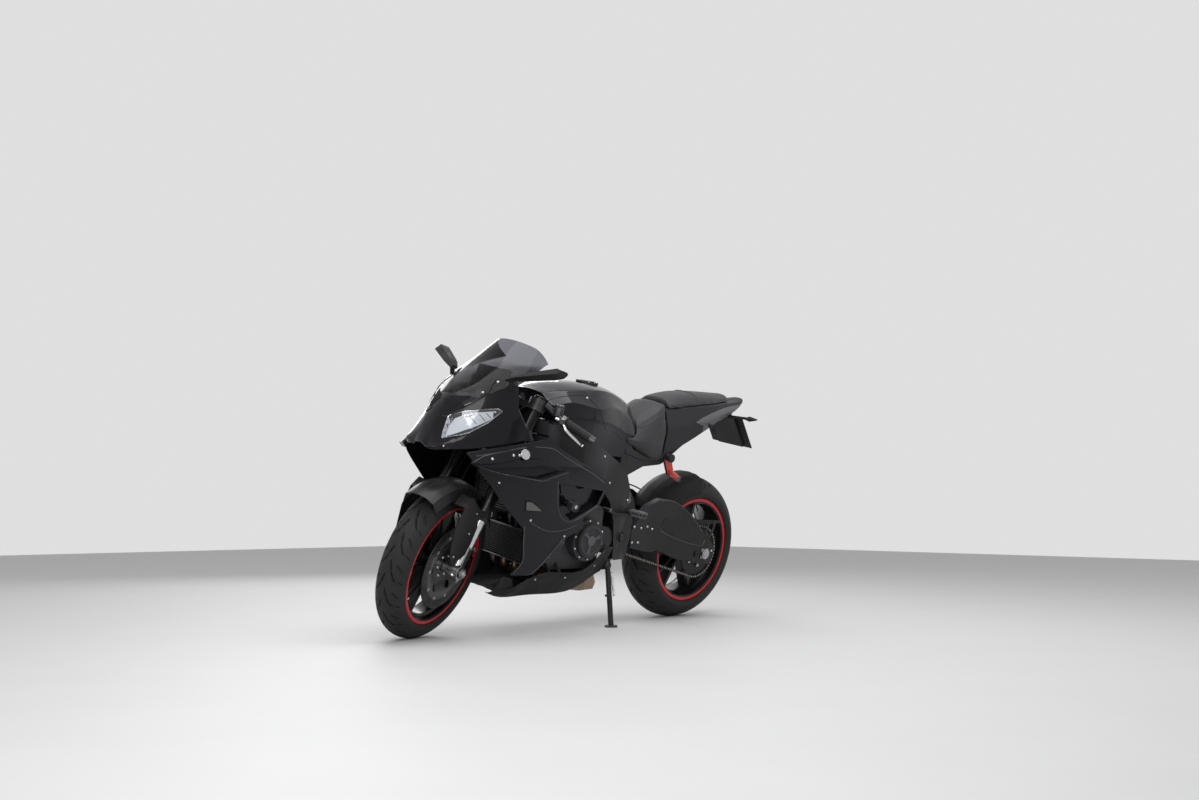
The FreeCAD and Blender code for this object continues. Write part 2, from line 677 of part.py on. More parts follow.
def make_front_mudguard():
    """Close-fitting guard with the long covers in front of the fork legs."""
    half = S.front_width / 2 + S.mudguard_gap
    wall = S.panel_wall
    front = guard_shell(FRONT_AXLE + Vector(48, 0, -34), 361, half, 56, wall, 61, 117)
    back = guard_shell(FRONT_AXLE, S.front_radius + S.mudguard_gap + wall + 2, half, 40, wall, 112, 152)
    cover = side_plate([(1466, 592), (1412, 552), (1380, 470), (1408, 372), (1500, 336), (1536, 400), (1540, 490),
                        (1512, 562)], 118, 121)
    bridge = side_plate([(1512, 562), (1470, 592), (1400, 546), (1402, 541), (1470, 587), (1509, 558)], half, 121)
    bracket = side_plate([(1318, 520), (1402, 545), (1402, 515), (1328, 486)], 110, 121)
    bracket = bracket.cut(rod(up_leg(100), up_leg(400), S.upper_tube_radius + 2.8))
    cover = cover.cut(rod(up_leg(-40), up_leg(S.lower_tube_foot + 40), S.foot_radius + 2))
    side = joined(cover, bridge, largest(bracket))
    node("front_mudguard", joined(front, back, side, mirrored(side)), STEERED)


def make_steered():
    make_fork_tubes()
    make_fork_sliders()
    make_front_axle()
    make_front_calipers()
    make_fork_clamps()
    make_handlebars()
    make_grips()
    make_hand_levers()
    make_front_mudguard()


# Bodywork sections: x, then (y, z) points from the top or middle outwards and down

NOSE_SECTIONS = (
    (1556, [(0, 742), (22, 738), (44, 735), (47, 728)]),
    (1534, [(0, 800), (30, 794), (98, 749), (100, 730)]),
    (1500, [(0, 872), (52, 852), (122, 766), (128, 738)]),
    (1460, [(0, 922), (86, 884), (146, 786), (154, 745)]),
    (1420, [(0, 956), (112, 916), (162, 806), (174, 754)]),
    (1380, [(0, 985), (136, 944), (177, 824), (188, 764)]),
    (1330, [(0, 1024), (158, 972), (193, 850), (204, 775)]),
    (1284, [(0, 1060), (180, 991), (208, 878), (215, 786)]),
)
# How the cowl's sides run on behind the last of these, under the bars
NOSE_REAR = (
    (1235, [(0, 1104), (180, 1018), (214, 880), (221, 794)]),
    (1136, [(0, 1188), (176, 1062), (220, 864), (226, 812)]),
)
FLANK_SECTIONS = (
    (1490, [(150, 765), (186, 705), (192, 620), (186, 480), (176, 330), (146, 200)]),
    (1350, [(200, 778), (238, 700), (236, 630), (215, 480), (195, 330), (170, 205)]),
    (1220, [(225, 805), (258, 700), (250, 620), (232, 480), (212, 330), (175, 200)]),
    (1080, [(235, 805), (262, 695), (256, 600), (240, 470), (218, 300), (160, 185)]),
    (930, [(235, 775), (248, 690), (248, 590), (242, 450), (218, 300), (155, 188)]),
    (780, [(215, 730), (228, 650), (232, 560), (230, 430), (208, 310), (150, 215)]),
    (630, [(190, 690), (200, 620), (210, 520), (210, 400), (190, 320), (140, 255)]),
)
SCREEN_SECTIONS = (
    (1240, [(0, 1104), (170, 1013)]),
    (1200, [(0, 1144), (158, 1032)]),
    (1140, [(0, 1188), (138, 1056)]),
    (1084, [(0, 1222), (122, 1078)]),
)
# Slanted left lamp in side view, from its front tip round its upper edge
LAMP_OUTLINE = [(1528, 768), (1494, 851), (1452, 876), (1401, 890), (1352, 900), (1336, 892), (1388, 842),
                (1452, 800)]
TANK_SECTIONS = (
    (1064, [(0, 968), (80, 960), (128, 930), (134, 905), (110, 860)]),
    (1000, [(0, 990), (100, 975), (150, 935), (162, 890), (140, 830)]),
    (900, [(0, 1008), (110, 985), (165, 935), (178, 880), (155, 800)]),
    (800, [(0, 1010), (110, 992), (165, 925), (170, 870), (140, 760)]),
    (700, [(0, 1004), (95, 985), (135, 930), (145, 860), (125, 740)]),
    (600, [(0, 980), (80, 955), (110, 900), (120, 830), (112, 730)]),
    (520, [(0, 940), (60, 915), (90, 870), (105, 820), (100, 740)]),
    (478, [(0, 850), (40, 842), (60, 825), (80, 800), (80, 760)]),
)
TAIL_SECTIONS = (
    (338, [(0, 938), (92, 932), (122, 850), (115, 742)]),
    (250, [(0, 952), (98, 944), (122, 868), (116, 779)]),
    (120, [(0, 972), (100, 960), (120, 896), (111, 838)]),
    (0, [(0, 985), (92, 972), (111, 926), (100, 893)]),
    (-120, [(0, 993), (72, 986), (86, 956), (70, 928)]),
    (-200, [(0, 1000), (54, 994), (62, 976), (46, 958)]),
    (-258, [(0, 1008), (24, 1006), (30, 998), (18, 990)]),
)
BELLY_SECTIONS = (
    (1250, [(0, 204), (150, 204), (186, 222), (192, 240)]),
    (1090, [(0, 186), (150, 186), (200, 250), (209, 272)]),
    (950, [(0, 186), (150, 186), (205, 268), (213, 287)]),
    (820, [(0, 192), (146, 192), (196, 262), (207, 289)]),
    (690, [(0, 240), (138, 240), (186, 330), (192, 362)]),
    (640, [(0, 262), (138, 262), (180, 350), (186, 372)]),
)
# Spar: side outline from the head back along the top and down to the pivot plate, and the way back
SPAR_TOP = [(1178, 882), (1060, 866), (901, 829), (760, 758), (662, 713), (591, 663), (529, 556), (506, 470),
            (506, 400), (520, 324), (534, 312)]
SPAR_LOW = [(606, 312), (616, 375), (642, 470), (690, 556), (770, 622), (880, 672), (1000, 706), (1110, 726),
            (1212, 740)]
SPAR_PLAN = [(1215, 30), (1165, 60), (1092, 70), (1048, 128), (1000, 162), (901, 190), (760, 186), (662, 174), (591, 161), (500, 150)]
TANK_LINE = [(1070, 1100), (1070, 868 + S.seat_gap)] + [(x, z + S.seat_gap) for x, z in SPAR_TOP[1:6]] + \
    [(470, 700), (470, 1100)]
COVER_SEAM = 854
COVER_LEFT = Vector(803, 0, 408)
COVER_RIGHT = Vector(770, 0, 400)
STAND_PIVOT = Vector(S.stand_x, S.stand_y, S.stand_z)
STAND_AXIS = Vector(0.05, 0.95, 0.31).normalize()
STAND_DOWN = Vector(0, 0.31, -0.95).normalize()
SHOCK_TOP = Vector(505, 0, 640)
SHOCK_FOOT = Vector(425, 0, 425)
COLLECTOR = [(900, 196), (900, 276), (690, 276), (636, 250), (612, 202), (622, 176), (700, 172), (800, 184)]


def nose_lines():
    return [(x, full_width(line)) for x, line in NOSE_SECTIONS]


def make_main_frame():
    """Twin-spar frame with its head tube, pivot plates, cross members and crash pads."""
    reach = 60
    outline_side = side_plate(SPAR_TOP + SPAR_LOW, -reach, 260)
    inner_plan = offset_line(SPAR_PLAN, S.spar_thickness)
    left = outline_side.common(plan_plate(SPAR_PLAN + inner_plan[::-1], 280, 900))
    head = rod(on_stem(S.lower_clamp_place + S.lower_clamp_height / 2 + 1.5),
               on_stem(S.upper_clamp_place - S.upper_clamp_height / 2 - 1.5), S.head_tube_radius)
    bore = rod(on_stem(S.lower_clamp_place - 40), on_stem(S.upper_clamp_place + 40), S.stem_radius + 1)
    gusset = side_plate([(1178, 868), (1090, 850), (1100, 740), (1205, 748)], -70, 70)
    lower_gap = side_plate([(1300, 700), (1060, 700), (1060, 722), (1216, 726), (1300, 764)], -260, 260)
    low_clear = rod(on_stem(S.lower_clamp_place - 60),
                    on_stem(S.lower_clamp_place + S.lower_clamp_height / 2 + 5.5), 170)
    top_clear = rod(on_stem(S.upper_clamp_place - S.upper_clamp_height / 2 - 5.5),
                    on_stem(S.upper_clamp_place + 60), 170)
    beam = Vector(590, 0, 630)
    cross = [cross_disc(beam, 20, -S.plate_inner - 12, S.plate_inner + 12),
             cross_disc(Vector(566, 0, 324), 8, -S.plate_inner - 5, S.plate_inner + 5),
             side_plate([(beam.x, beam.z - 18), (beam.x, beam.z + 18), (SHOCK_TOP.x - 10, SHOCK_TOP.z + 14),
                         (SHOCK_TOP.x - 14, SHOCK_TOP.z - 12)], -30, 30)]
    plate = side_plate(SPAR_TOP[-5:] + SPAR_LOW[:3] + [(660, 520), (600, 600)], S.plate_inner, S.plate_outer)
    pads = rod(Vector(985, 150, 565), Vector(985, 268, 560), S.pad_radius)
    pad_foot = rod(Vector(985, 156, 565), Vector(950, 174, 730), S.pad_radius)
    pad_head = rod(Vector(985, 250, 560.8), Vector(985, 276, 559.7), 22)
    side = joined(left, plate, pads, pad_foot, pad_head)
    slot = side_plate([(SHOCK_TOP.x - 20, SHOCK_TOP.z - 30), (SHOCK_TOP.x + 18, SHOCK_TOP.z - 30),
                       (SHOCK_TOP.x + 18, SHOCK_TOP.z + 30), (SHOCK_TOP.x - 20, SHOCK_TOP.z + 30)], -17, 17)
    spindle = cross_disc(PIVOT, S.pivot_bolt_radius, -S.plate_outer, S.plate_outer)
    nut = cross_disc(PIVOT, S.pivot_bolt_radius + 8, S.plate_outer + 2, S.plate_outer + 18)
    sweep = rod(STAND_PIVOT - STAND_AXIS * 3.5, STAND_PIVOT + STAND_AXIS * 40, 24)
    stand_bore = rod(STAND_PIVOT - STAND_AXIS * 60, STAND_PIVOT, S.stand_pin_radius + 0.3)
    tongue = side_plate([(570, 345), (588, 266), (628, 266), (609.5, 345)], S.plate_inner + 0.7,
                        S.plate_inner + 14)
    side = joined(side, nut)
    whole = joined(side, mirrored(side), gusset)
    whole = joined(whole, spindle, *cross)
    whole = whole.cut(lower_gap).cut(low_clear).cut(top_clear).cut(slot)
    whole = joined(whole, head).cut(bore).cut(sweep)
    whole = joined(whole, tongue).cut(stand_bore)
    node("main_frame", whole)
    return whole


def make_engine(frame):
    """Engine as one plain block, with its outer covers."""
    crank = side_plate([(1000, 300), (1000, 470), (960, 530), (700, 530), (700, 300), (760, 285), (960, 285)],
                       -162, 162)
    head = side_plate([(1010, 470), (1050, 600), (1000, 690), (860, 660), (790, 520)], -118, 118)
    box = side_plate([(700, 300), (700, 530), (640, 520), (608, 440), (608, 350), (640, 300)], -96, 96)
    block = joined(crank, head, box).cut(frame)
    node("engine_block", block)
    left = [cross_disc(COVER_LEFT, S.cover_radius, 162, 200), cross_disc(COVER_LEFT, 66, 200, 213)]
    right = [cross_disc(COVER_RIGHT, S.cover_radius + 11, -204, -162), cross_disc(COVER_RIGHT, 70, -214, -204),
             cross_disc(Vector(910, 0, 380), 52, -196, -162)]
    sprocket = cross_disc(Vector(676, 0, 400), 52, 122, 160).fuse(
        side_plate([(676, 452), (676, 348), (720, 348), (720, 452)], 122, 160))
    node("engine_covers", Part.makeCompound([joined(*left), joined(*right),
                                             cut_to(sprocket, block, frame, joined(*left))]))
    low = S.chain_plane - S.sprocket_thickness / 2
    plate = toothed_plate(S.front_teeth, low, low + S.sprocket_thickness)
    plate.translate(Vector(S.front_sprocket_x, 0, S.front_sprocket_z))
    shaft = cross_disc(Vector(S.front_sprocket_x, 0, S.front_sprocket_z), 15, 96, low + S.sprocket_thickness + 5)
    node("front_sprocket", joined(plate, shaft))
    return block


def make_radiators(block):
    upper = side_plate([(1096, 480), (1112, 690), (1082, 694), (1064, 484)], -150, 150)
    tanks = side_plate([(1100, 476), (1116, 694), (1078, 700), (1060, 478)], 150, 172)
    lower = side_plate([(1062, 300), (1076, 430), (1052, 434), (1036, 304)], -110, 110)
    ends = side_plate([(1064, 296), (1079, 434), (1049, 438), (1033, 300)], 110, 124)
    stay = rod(Vector(1070, 60, 456), Vector(1000, 60, 456), 8)
    stay = joined(stay, rod(Vector(1064, 60, 400), Vector(1080, 60, 500), 8))
    node("radiators", cut_to(joined(upper, tanks, mirrored(tanks), lower, ends, mirrored(ends), stay,
                                    mirrored(stay)), block))


def make_swingarm():
    """Curved two-arm swingarm with its cross brace, axle plates and stand spools."""
    arm = [(496, 444), (425, 532), (347, 562), (244, 553), (117, 489), (36, 423), (-40, 372), (-66, 340), (-66, 296),
           (-36, 272), (60, 282), (186, 300), (313, 340), (408, 340), (496, 358)]
    left = side_plate(arm, S.left_arm_inner, S.left_arm_outer)
    right = side_plate(arm, -S.right_arm_outer, -S.right_arm_inner)
    block = side_plate([(500, 372), (500, 438), (430, 430), (345, 420), (345, 336), (408, 340)],
                       -S.right_arm_outer, S.left_arm_outer)
    neck = side_plate([(PIVOT.x, PIVOT.z - 22), (PIVOT.x, PIVOT.z + 22), (430, 430), (430, 372)],
                      -S.pivot_half + 6, S.pivot_half - 6)
    tube = cross_disc(PIVOT, S.pivot_radius, -S.pivot_half, S.pivot_half)
    shock_slot = side_plate([(500, 410), (500, 480), (380, 480), (380, 410)], -26, 26)
    axle = cross_disc(REAR_AXLE, S.rear_axle_radius + 0.3, -200, 200)
    spools = []
    bores = []
    for side, outer in ((1, S.left_arm_outer), (-1, S.right_arm_outer)):
        start = Vector(52, side * (outer - 2), 318)
        spools.append(rod(start, start + Vector(0, side * 8, 0), 14))
        thread = rod(start + Vector(0, side * 7.5, 0), start + Vector(0, side * (7 - S.spool_depth), 0), S.spool_bore)
        mouth = rod(start + Vector(0, side * 9, 0), start + Vector(0, side * 7, 0), S.spool_bore + 1.2)
        bores.append(joined(thread, mouth))
    whole = joined(left, right, block, neck, tube, *spools)
    whole = whole.cut(shock_slot).cut(axle).cut(Part.makeCompound(bores))
    whole = whole.cut(rod(PIVOT - SIDEWAYS * 130, PIVOT + SIDEWAYS * 130, S.pivot_bolt_radius + 0.3))
    bolt = cross_disc(Vector(SHOCK_FOOT.x, 0, SHOCK_FOOT.z), 8, -28, 28)
    node("swingarm", joined(whole, bolt))


def make_shock():
    along = (SHOCK_TOP - SHOCK_FOOT).normalize()
    eye_top = cross_disc(SHOCK_TOP, 15, -16, 16)
    eye_foot = cross_disc(SHOCK_FOOT, 15, -16, 16, 8.2)
    body = joined(rod(SHOCK_FOOT + along * 10, SHOCK_TOP - along * 10, 9),
                  rod(SHOCK_TOP - along * 110, SHOCK_TOP - along * 18, 22),
                  rod(SHOCK_TOP - along * 30, SHOCK_TOP - along * 18, 32),
                  rod(SHOCK_FOOT + along * 20, SHOCK_FOOT + along * 30, 32), eye_top)
    body = joined(body.cut(cross_disc(SHOCK_FOOT, 8.2, -20, 20)), eye_foot)
    node("shock_absorber", body)
    wire = S.spring_wire
    length = (SHOCK_TOP - SHOCK_FOOT).Length - 60 - 2 * wire - 2 * S.seat_gap
    coil = Part.makeHelix(S.spring_pitch, length, S.spring_radius)
    ring = Part.Wire([Part.makeCircle(wire, Vector(S.spring_radius, 0, 0), Vector(0, 1, 0))])
    spring = Part.Wire(coil.Edges).makePipeShell([ring], True, True)
    turn = Rotation(Vector(0, 0, 1), along)
    spring.Placement = Placement(SHOCK_FOOT + along * (30 + wire + S.seat_gap), turn)
    node("shock_spring", spring)


def make_rear_axle():
    axle = doc.addObject("Part::Cylinder", "rear_axle_bar")
    axle.setExpression("Radius", "Sizes.rear_axle_radius - 0.5")
    axle.setExpression("Height", "Sizes.left_arm_outer + Sizes.right_arm_outer + 30")
    axle.setExpression("Placement.Base.z", "-Sizes.right_arm_outer - 15")
    pieces = []
    for name, radius, low, high in (
            ("left_nut", "Sizes.rear_axle_radius + 9", "Sizes.left_arm_outer + 0.2", "Sizes.left_arm_outer + 12"),
            ("right_nut", "Sizes.rear_axle_radius + 9", "-Sizes.right_arm_outer - 12",
             "-Sizes.right_arm_outer - 0.2"),
            ("left_spacer", "Sizes.rear_axle_radius + 6", "Sizes.chain_plane + 4", "Sizes.left_arm_inner - 0.2"),
            ("right_spacer", "Sizes.rear_axle_radius + 6", "-Sizes.right_arm_inner + 0.2",
             "-Sizes.rear_disc_place - 3")):
        piece = doc.addObject("Part::Cylinder", "rear_axle_" + name)
        piece.setExpression("Radius", radius)
        piece.setExpression("Height", "(%s) - (%s)" % (high, low))
        piece.setExpression("Placement.Base.z", low)
        pieces.append(piece)
    whole = doc.addObject("Part::MultiFuse", "rear_axle")
    whole.Label = "rear_axle"
    whole.Shapes = [axle] + pieces
    whole.Placement = LEAN * Placement(REAR_AXLE, Rotation(Vector(1, 0, 0), -90))
    PARTS.append(whole)


def make_rear_caliper():
    middle = -S.rear_disc_place
    slot = S.disc_thickness / 2 + S.running_gap
    block = side_plate([(72, 240), (122, 262), (118, 300), (70, 300), (50, 262)], middle - 13, middle + 16)
    gap = cross_disc(REAR_AXLE, S.rear_disc_radius + 3, middle - slot, middle + slot)
    lug = cross_disc(Vector(98, 0, 300), 14, -S.right_arm_inner + 0.2, middle - 5)
    node("rear_caliper", joined(block, lug).cut(gap))


def make_hugger():
    """Guard close over the rear tyre, and the chain's upper guard."""
    half = S.rear_width / 2 + 6
    outer = S.rear_radius + S.hugger_gap + S.panel_wall + 3
    shell = guard_shell(REAR_AXLE, outer, half, 72, S.panel_wall, 32, 88)
    low = S.left_arm_inner - S.panel_gap
    guard = side_plate([(200, 505), (111, 469), (-125, 459), (-122, 450), (-20, 441), (60, 440), (150, 470)],
                       low - 3, low)
    tab = side_plate([(200, 505), (111, 469), (111, 474), (200, 510)], S.chain_plane - 12, low)
    posts = [cross_disc(Vector(250, 0, 536), 9, half, low),
             cross_disc(Vector(250, 0, 536), 9, -S.right_arm_inner + S.panel_gap - 0.2, -half + 4)]
    node("hugger", joined(shell, guard, tab, posts[0]))


def wheel_sweep():
    """Room that the front wheel takes at several steering angles, from stop to stop."""
    grow = S.wheel_clearance
    half = S.front_width / 2 + grow
    top = S.front_radius + grow
    form = lathe([(-half, 0), (-half, top - 52), (-half * 0.8, top - 24), (-half * 0.42, top - 6), (0, top),
                  (half * 0.42, top - 6), (half * 0.8, top - 24), (half, top - 52), (half, 0)], FRONT_AXLE)
    forms = []
    for step in range(-2, 3):
        turned = form.copy()
        turned.rotate(STEER_FOOT, UP_FORK, S.steering_lock * step / 2)
        forms.append(turned)
    return forms


def make_side_fairings():
    """Left and right flanks, each cut from one drawn skin to its own outline."""
    outline_points = [(1478, 734), (1354, 763), (1219, 792), (1136, 808), (1056, 763), (907, 705), (770, 650),
                      (778, 616), (814, 557), (900, 505), (888, 470), (977, 428), (971, 402), (1108, 280),
                      (1199, 282), (1165, 342), (1190, 460), (1325, 565), (1382, 622), (1439, 673)]
    lines = [(x, line) for x, line in FLANK_SECTIONS]
    base = skin(lines, -S.panel_wall, 0, False)
    panel = base.common(side_plate(outline_points, 0, 300))
    recess = [(1080, 650), (1044, 545), (971, 500), (830, 560), (800, 612)]
    rim = [(1084, 654), (1046.5, 542), (971, 496), (827, 557), (794, 616)]
    tray = skin(lines, -S.recess_depth - S.panel_wall, -0.8, False).common(side_plate(rim, 0, 300))
    tray = tray.cut(skin(lines, -S.recess_depth, 12, False).common(side_plate(recess, 0, 300)))
    hole = rod(Vector(985, 150, 565), Vector(985, 300, 558.9), S.pad_radius + 0.3)
    panel = largest(joined(panel.cut(side_plate(recess, 0, 300)), tray).cut(hole))
    node("side_fairing_left", panel)
    node("side_fairing_right", mirrored(panel))
    whole = [(1472, 702), (1451, 727), (1254, 775), (1070, 694), (1191, 652), (1279, 655), (1369, 665),
             (1446, 682)]
    upper = [(1472, 702), (1451, 727), (1254, 775), (1180, 736), (1282, 736), (1375, 711), (1451, 703)]
    lower = [(1474, 702), (1446, 690), (1369, 676), (1279, 666), (1191, 664), (1074, 698), (1066, 692),
             (1191, 652), (1279, 655), (1369, 665), (1446, 682)]
    web = skin(lines, 0.4, 3, False).common(side_plate(whole, 0, 320))
    plate = skin(lines, 0.8, 11, False).common(side_plate(upper, 0, 320))
    blade = skin(lines, 1.2, 25, False).common(side_plate(lower, 0, 340))
    node("side_fins", paired(joined(web, plate, blade)))


def engine_cover_room():
    """Space that the side panels leave round the engine's covers."""
    return joined(cross_disc(COVER_LEFT, S.cover_radius + 3, 140, 260),
                  cross_disc(COVER_RIGHT, S.cover_radius + 14, -260, -140),
                  Part.makeBox(20, 400, 20, Vector(COVER_LEFT.x - 40, -200, COVER_LEFT.z)))


def make_belly_pan(block):
    lines = [(x, full_width(line)) for x, line in BELLY_SECTIONS]
    shell = skin(lines, 0, S.panel_wall, False)
    fin = side_plate([(1273, 212), (1222, 276), (1180, 268), (1150, 214)], 188, 191)
    fin = fin.cut(shell)
    drop = side_plate([(x, z + side) for (x, z), side in zip(COLLECTOR, (0, 200, 200, 200, -6, -8, -8, -8))],
                      -S.collector_half - 6, S.collector_half + 6)
    stays = [rod(Vector(x, 205.5, 269.5), Vector(x, 150, 320), 6) for x in (930, 985)]
    pan = joined(shell, fin, mirrored(fin), *stays, *[mirrored(stay) for stay in stays]).cut(drop)
    for form in wheel_sweep() + [engine_cover_room(), block]:
        pan = pan.cut(form)
    node("belly_pan", largest(pan))


def make_nose():
    """Nose cowl, screen, lamps and what is behind them, all cut from one drawn form."""
    lines = nose_lines()
    shell = skin(lines, -S.panel_wall, 0)
    long_shell = skin(lines + [(x, full_width(line)) for x, line in NOSE_REAR], -S.panel_wall, 0)
    edge = [(1455, 909), (1449, 892), (1414, 918), (1380, 944), (1330, 972), (1284, 991)]
    rear_edge = [(1284, 905), (1268, 862), (1235, 833), (1150, 818), (1120, 818)]
    zone = side_plate([(1478, 1300)] + edge + rear_edge + [(1120, 1300)], -300, 300)
    lamp_zone = side_plate(LAMP_OUTLINE, 32, 300)
    round_zone = rod(Vector(1300, -92, 842), Vector(1600, -92, 842), S.round_lamp_radius)
    over_fairing = side_plate([(1310, 774), (1219, 795), (1136, 811.5), (1100, 816), (1100, 700), (1310, 700)],
                              -300, 300)
    cowl = largest(long_shell.cut(over_fairing).cut(zone).cut(lamp_zone).cut(round_zone))
    hollow = loft([(x, offset_line(line, -S.panel_wall)) for x, line in lines])
    node("nose_fairing", cowl)
    gap = S.panel_gap
    lamp_in = offset_line(LAMP_OUTLINE + LAMP_OUTLINE[:2], gap)[1:-1]
    left_lens = shell.common(side_plate(lamp_in, 32 + gap, 300))
    right_lens = shell.common(rod(Vector(1300, -92, 842), Vector(1600, -92, 842), S.round_lamp_radius - gap))
    node("headlamps", Part.makeCompound([left_lens, right_lens]))
    screen_lines = [(x, full_width(line[:2])) for x, line in NOSE_SECTIONS if x < 1480] + \
        [(x, full_width(line)) for x, line in SCREEN_SECTIONS]
    screen_form = skin(screen_lines, -S.screen_wall, 0)
    screen_zone = side_plate([(1478, 1300)] + [(x, z + gap) for x, z in edge] +
                             [(1091, 1072), (1156, 1126), (1202, 1147), (1202, 1300)], -300, 300)
    screen = screen_form.common(screen_zone)
    node("windscreen", screen)
    deep = skin(lines, -60, -S.panel_wall - gap)
    left_bucket = deep.common(side_plate(lamp_in, 40, 300))
    right_bucket = deep.common(rod(Vector(1300, -92, 842), Vector(1600, -92, 842), S.round_lamp_radius - 3))
    node("headlamp_units", Part.makeCompound([left_bucket, right_bucket]))
    return cowl, screen, hollow


def make_nose_stay(frame, shell, *others):
    """Front subframe for the cowl, instruments and mirrors."""
    beam = side_plate([(1195, 800), (1185, 830), (1320, 862), (1336, 850), (1320, 836)], -20, 20)
    cross = rod(Vector(1322, -215, 850), Vector(1322, 215, 850), 8)
    posts = [rod(Vector(1322, side * 150, 850), Vector(1310, side * 157, 952), 7) for side in (1, -1)]
    panel_arm = rod(Vector(1322, 0, 850), Vector(1266, 0, 975), 8)
    whole = joined(beam, cross, panel_arm, *posts)
    node("nose_stay", largest(cut_to(whole, frame, shell, *others)))


def make_mirrors(*others):
    """Slim wing-shaped mirrors on stems that stand on the cowl's upper edge."""
    sections = ((158, 1316, 1006, 20, 9), (205, 1294, 1022, 34, 15), (330, 1240, 1056, 38, 22),
                (344, 1234, 1060, 30, 12))
    wires = []
    for y, x, z, half, thick in sections:
        wires.append(outline([Vector(x + half, y, z), Vector(x + half * 0.3, y, z + thick),
                              Vector(x - half * 0.8, y, z + thick * 0.6), Vector(x - half, y, z),
                              Vector(x - half * 0.8, y, z - thick * 0.6), Vector(x + half * 0.3, y, z - thick)]))
    blade = Part.makeLoft(wires, True, True)
    stem = rod(Vector(1308, 166, 970), Vector(1312, 170, 1006), 9)
    node("mirrors", paired(largest(cut_to(joined(blade, stem), *others))))


def make_instruments():
    panel = side_plate([(1262, 958), (1238, 1030), (1252, 1036), (1276, 964)], -88, 88)
    node("instrument_panel", panel)
    return panel


def tank_form(grow):
    """The tank's outer form, solid down to its lowest line, grown by a clearance."""
    sections = []
    for x, line in TANK_SECTIONS:
        grown = offset_line(full_width(line), grow) if grow else full_width(line)
        sections.append((x, grown))
    first_x, first = sections[0]
    last_x, last = sections[-1]
    return loft(sections)


def make_tank(frame):
    form = tank_form(0).common(side_plate(TANK_LINE, -300, 300))
    seam = plan_plate([(COVER_SEAM, -300), (COVER_SEAM, 300), (1200, 300), (1200, -300)], 600, 1200)
    gap = plan_plate([(COVER_SEAM - S.panel_gap, -300), (COVER_SEAM - S.panel_gap, 300), (1200, 300),
                      (1200, -300)], 600, 1200)
    tank = form.cut(gap)
    neck = Vector(745, 0, 0)
    cover = form.common(seam)
    pocket = rod(Vector(745, 0, 1003), Vector(745, 0, 1100), S.cap_radius + 6)
    bore = rod(Vector(745, 0, 1003 - S.neck_depth), Vector(745, 0, 1100), S.neck_radius)
    tank = cut_to(tank, pocket, bore, frame)
    node("fuel_tank", tank)
    node("tank_cover", cut_to(cover, frame))
    return tank


def make_fuel_cap():
    """Hinged filler lid, shut over the neck."""
    low = 1004
    lid = rod(Vector(745, 0, low), Vector(745, 0, low + S.cap_height), S.cap_radius)
    dome = rod(Vector(745, 0, low + S.cap_height), Vector(745, 0, low + S.cap_height + 3), S.cap_radius - 12)
    knuckle = rod(Vector(745 + S.cap_radius, -14, low + S.cap_height), Vector(745 + S.cap_radius, 14,
                                                                            low + S.cap_height), 5)
    node("fuel_cap", joined(lid, dome, knuckle))


def make_seats(tail_form, frame):
    rider = ((592, [(0, 862), (70, 852), (120, 812), (114, 788)]),
             (520, [(0, 878), (84, 866), (127, 800), (118, 768)]),
             (450, [(0, 906), (94, 894), (129, 800), (118, 741)]),
             (400, [(0, 936), (96, 924), (127, 815), (117, 724)]),
             (338 + S.panel_gap, [(0, 968), (88, 958), (122, 850), (115, 742)]))
    form = loft([(x, full_width(line)) for x, line in rider])
    node("rider_seat", cut_to(form, tank_form(S.seat_gap).common(side_plate(
        [(x, z - S.seat_gap) for x, z in TANK_LINE], -300, 300)), frame))
    pillion = ((316, [(0, 978), (62, 972), (92, 948), (94, 930)]),
               (150, [(0, 1009), (66, 1002), (96, 966), (98, 940)]),
               (20, [(0, 1014), (60, 1006), (88, 974), (90, 950)]),
               (-124, [(0, 1019), (34, 1014), (60, 996), (62, 970)]))
    form = loft([(x, full_width(line)) for x, line in pillion])
    node("pillion_seat", cut_to(form, tail_form))


def make_tail():
    lines = [(x, full_width(line)) for x, line in TAIL_SECTIONS]
    solid = loft([(x, line) for x, line in lines])
    inner = [(x, offset_line(line, -S.panel_wall)) for x, line in lines]
    shell = skin(lines, -S.panel_wall, 0)
    grown = loft([(x, offset_line(line, 0.4)) for x, line in lines])
    node("tail_fairing", shell)
    lamp = plan_plate([(-246, -22), (-246, 22), (-256, 20), (-256, -20)], 980, 997)
    node("tail_lamp", lamp.cut(shell))
    return solid, shell, grown


def make_subframe(frame, tail_shell):
    rail = [Vector(592, 100, 636), Vector(560, 100, 690), Vector(330, 96, 712), Vector(100, 86, 866),
            Vector(-140, 42, 950)]
    side = bent_tube(rail, 11, 50)
    lug = rod(Vector(60, 88, 884), Vector(60, 130, 884), 7)
    side = joined(side, lug)
    cover = side_plate([(588, 784), (398, 716), (538, 655), (592, 700)], 106, 111.5)
    side = joined(side, cover)
    ties = [rod(Vector(310, -96, 726), Vector(310, 96, 726), 9), rod(Vector(20, -84, 894), Vector(20, 84, 894), 9)]
    subframe = cut_to(joined(side, mirrored(side), *ties), frame, tail_shell, tank_form(S.seat_gap))
    node("subframe", subframe)
    return subframe


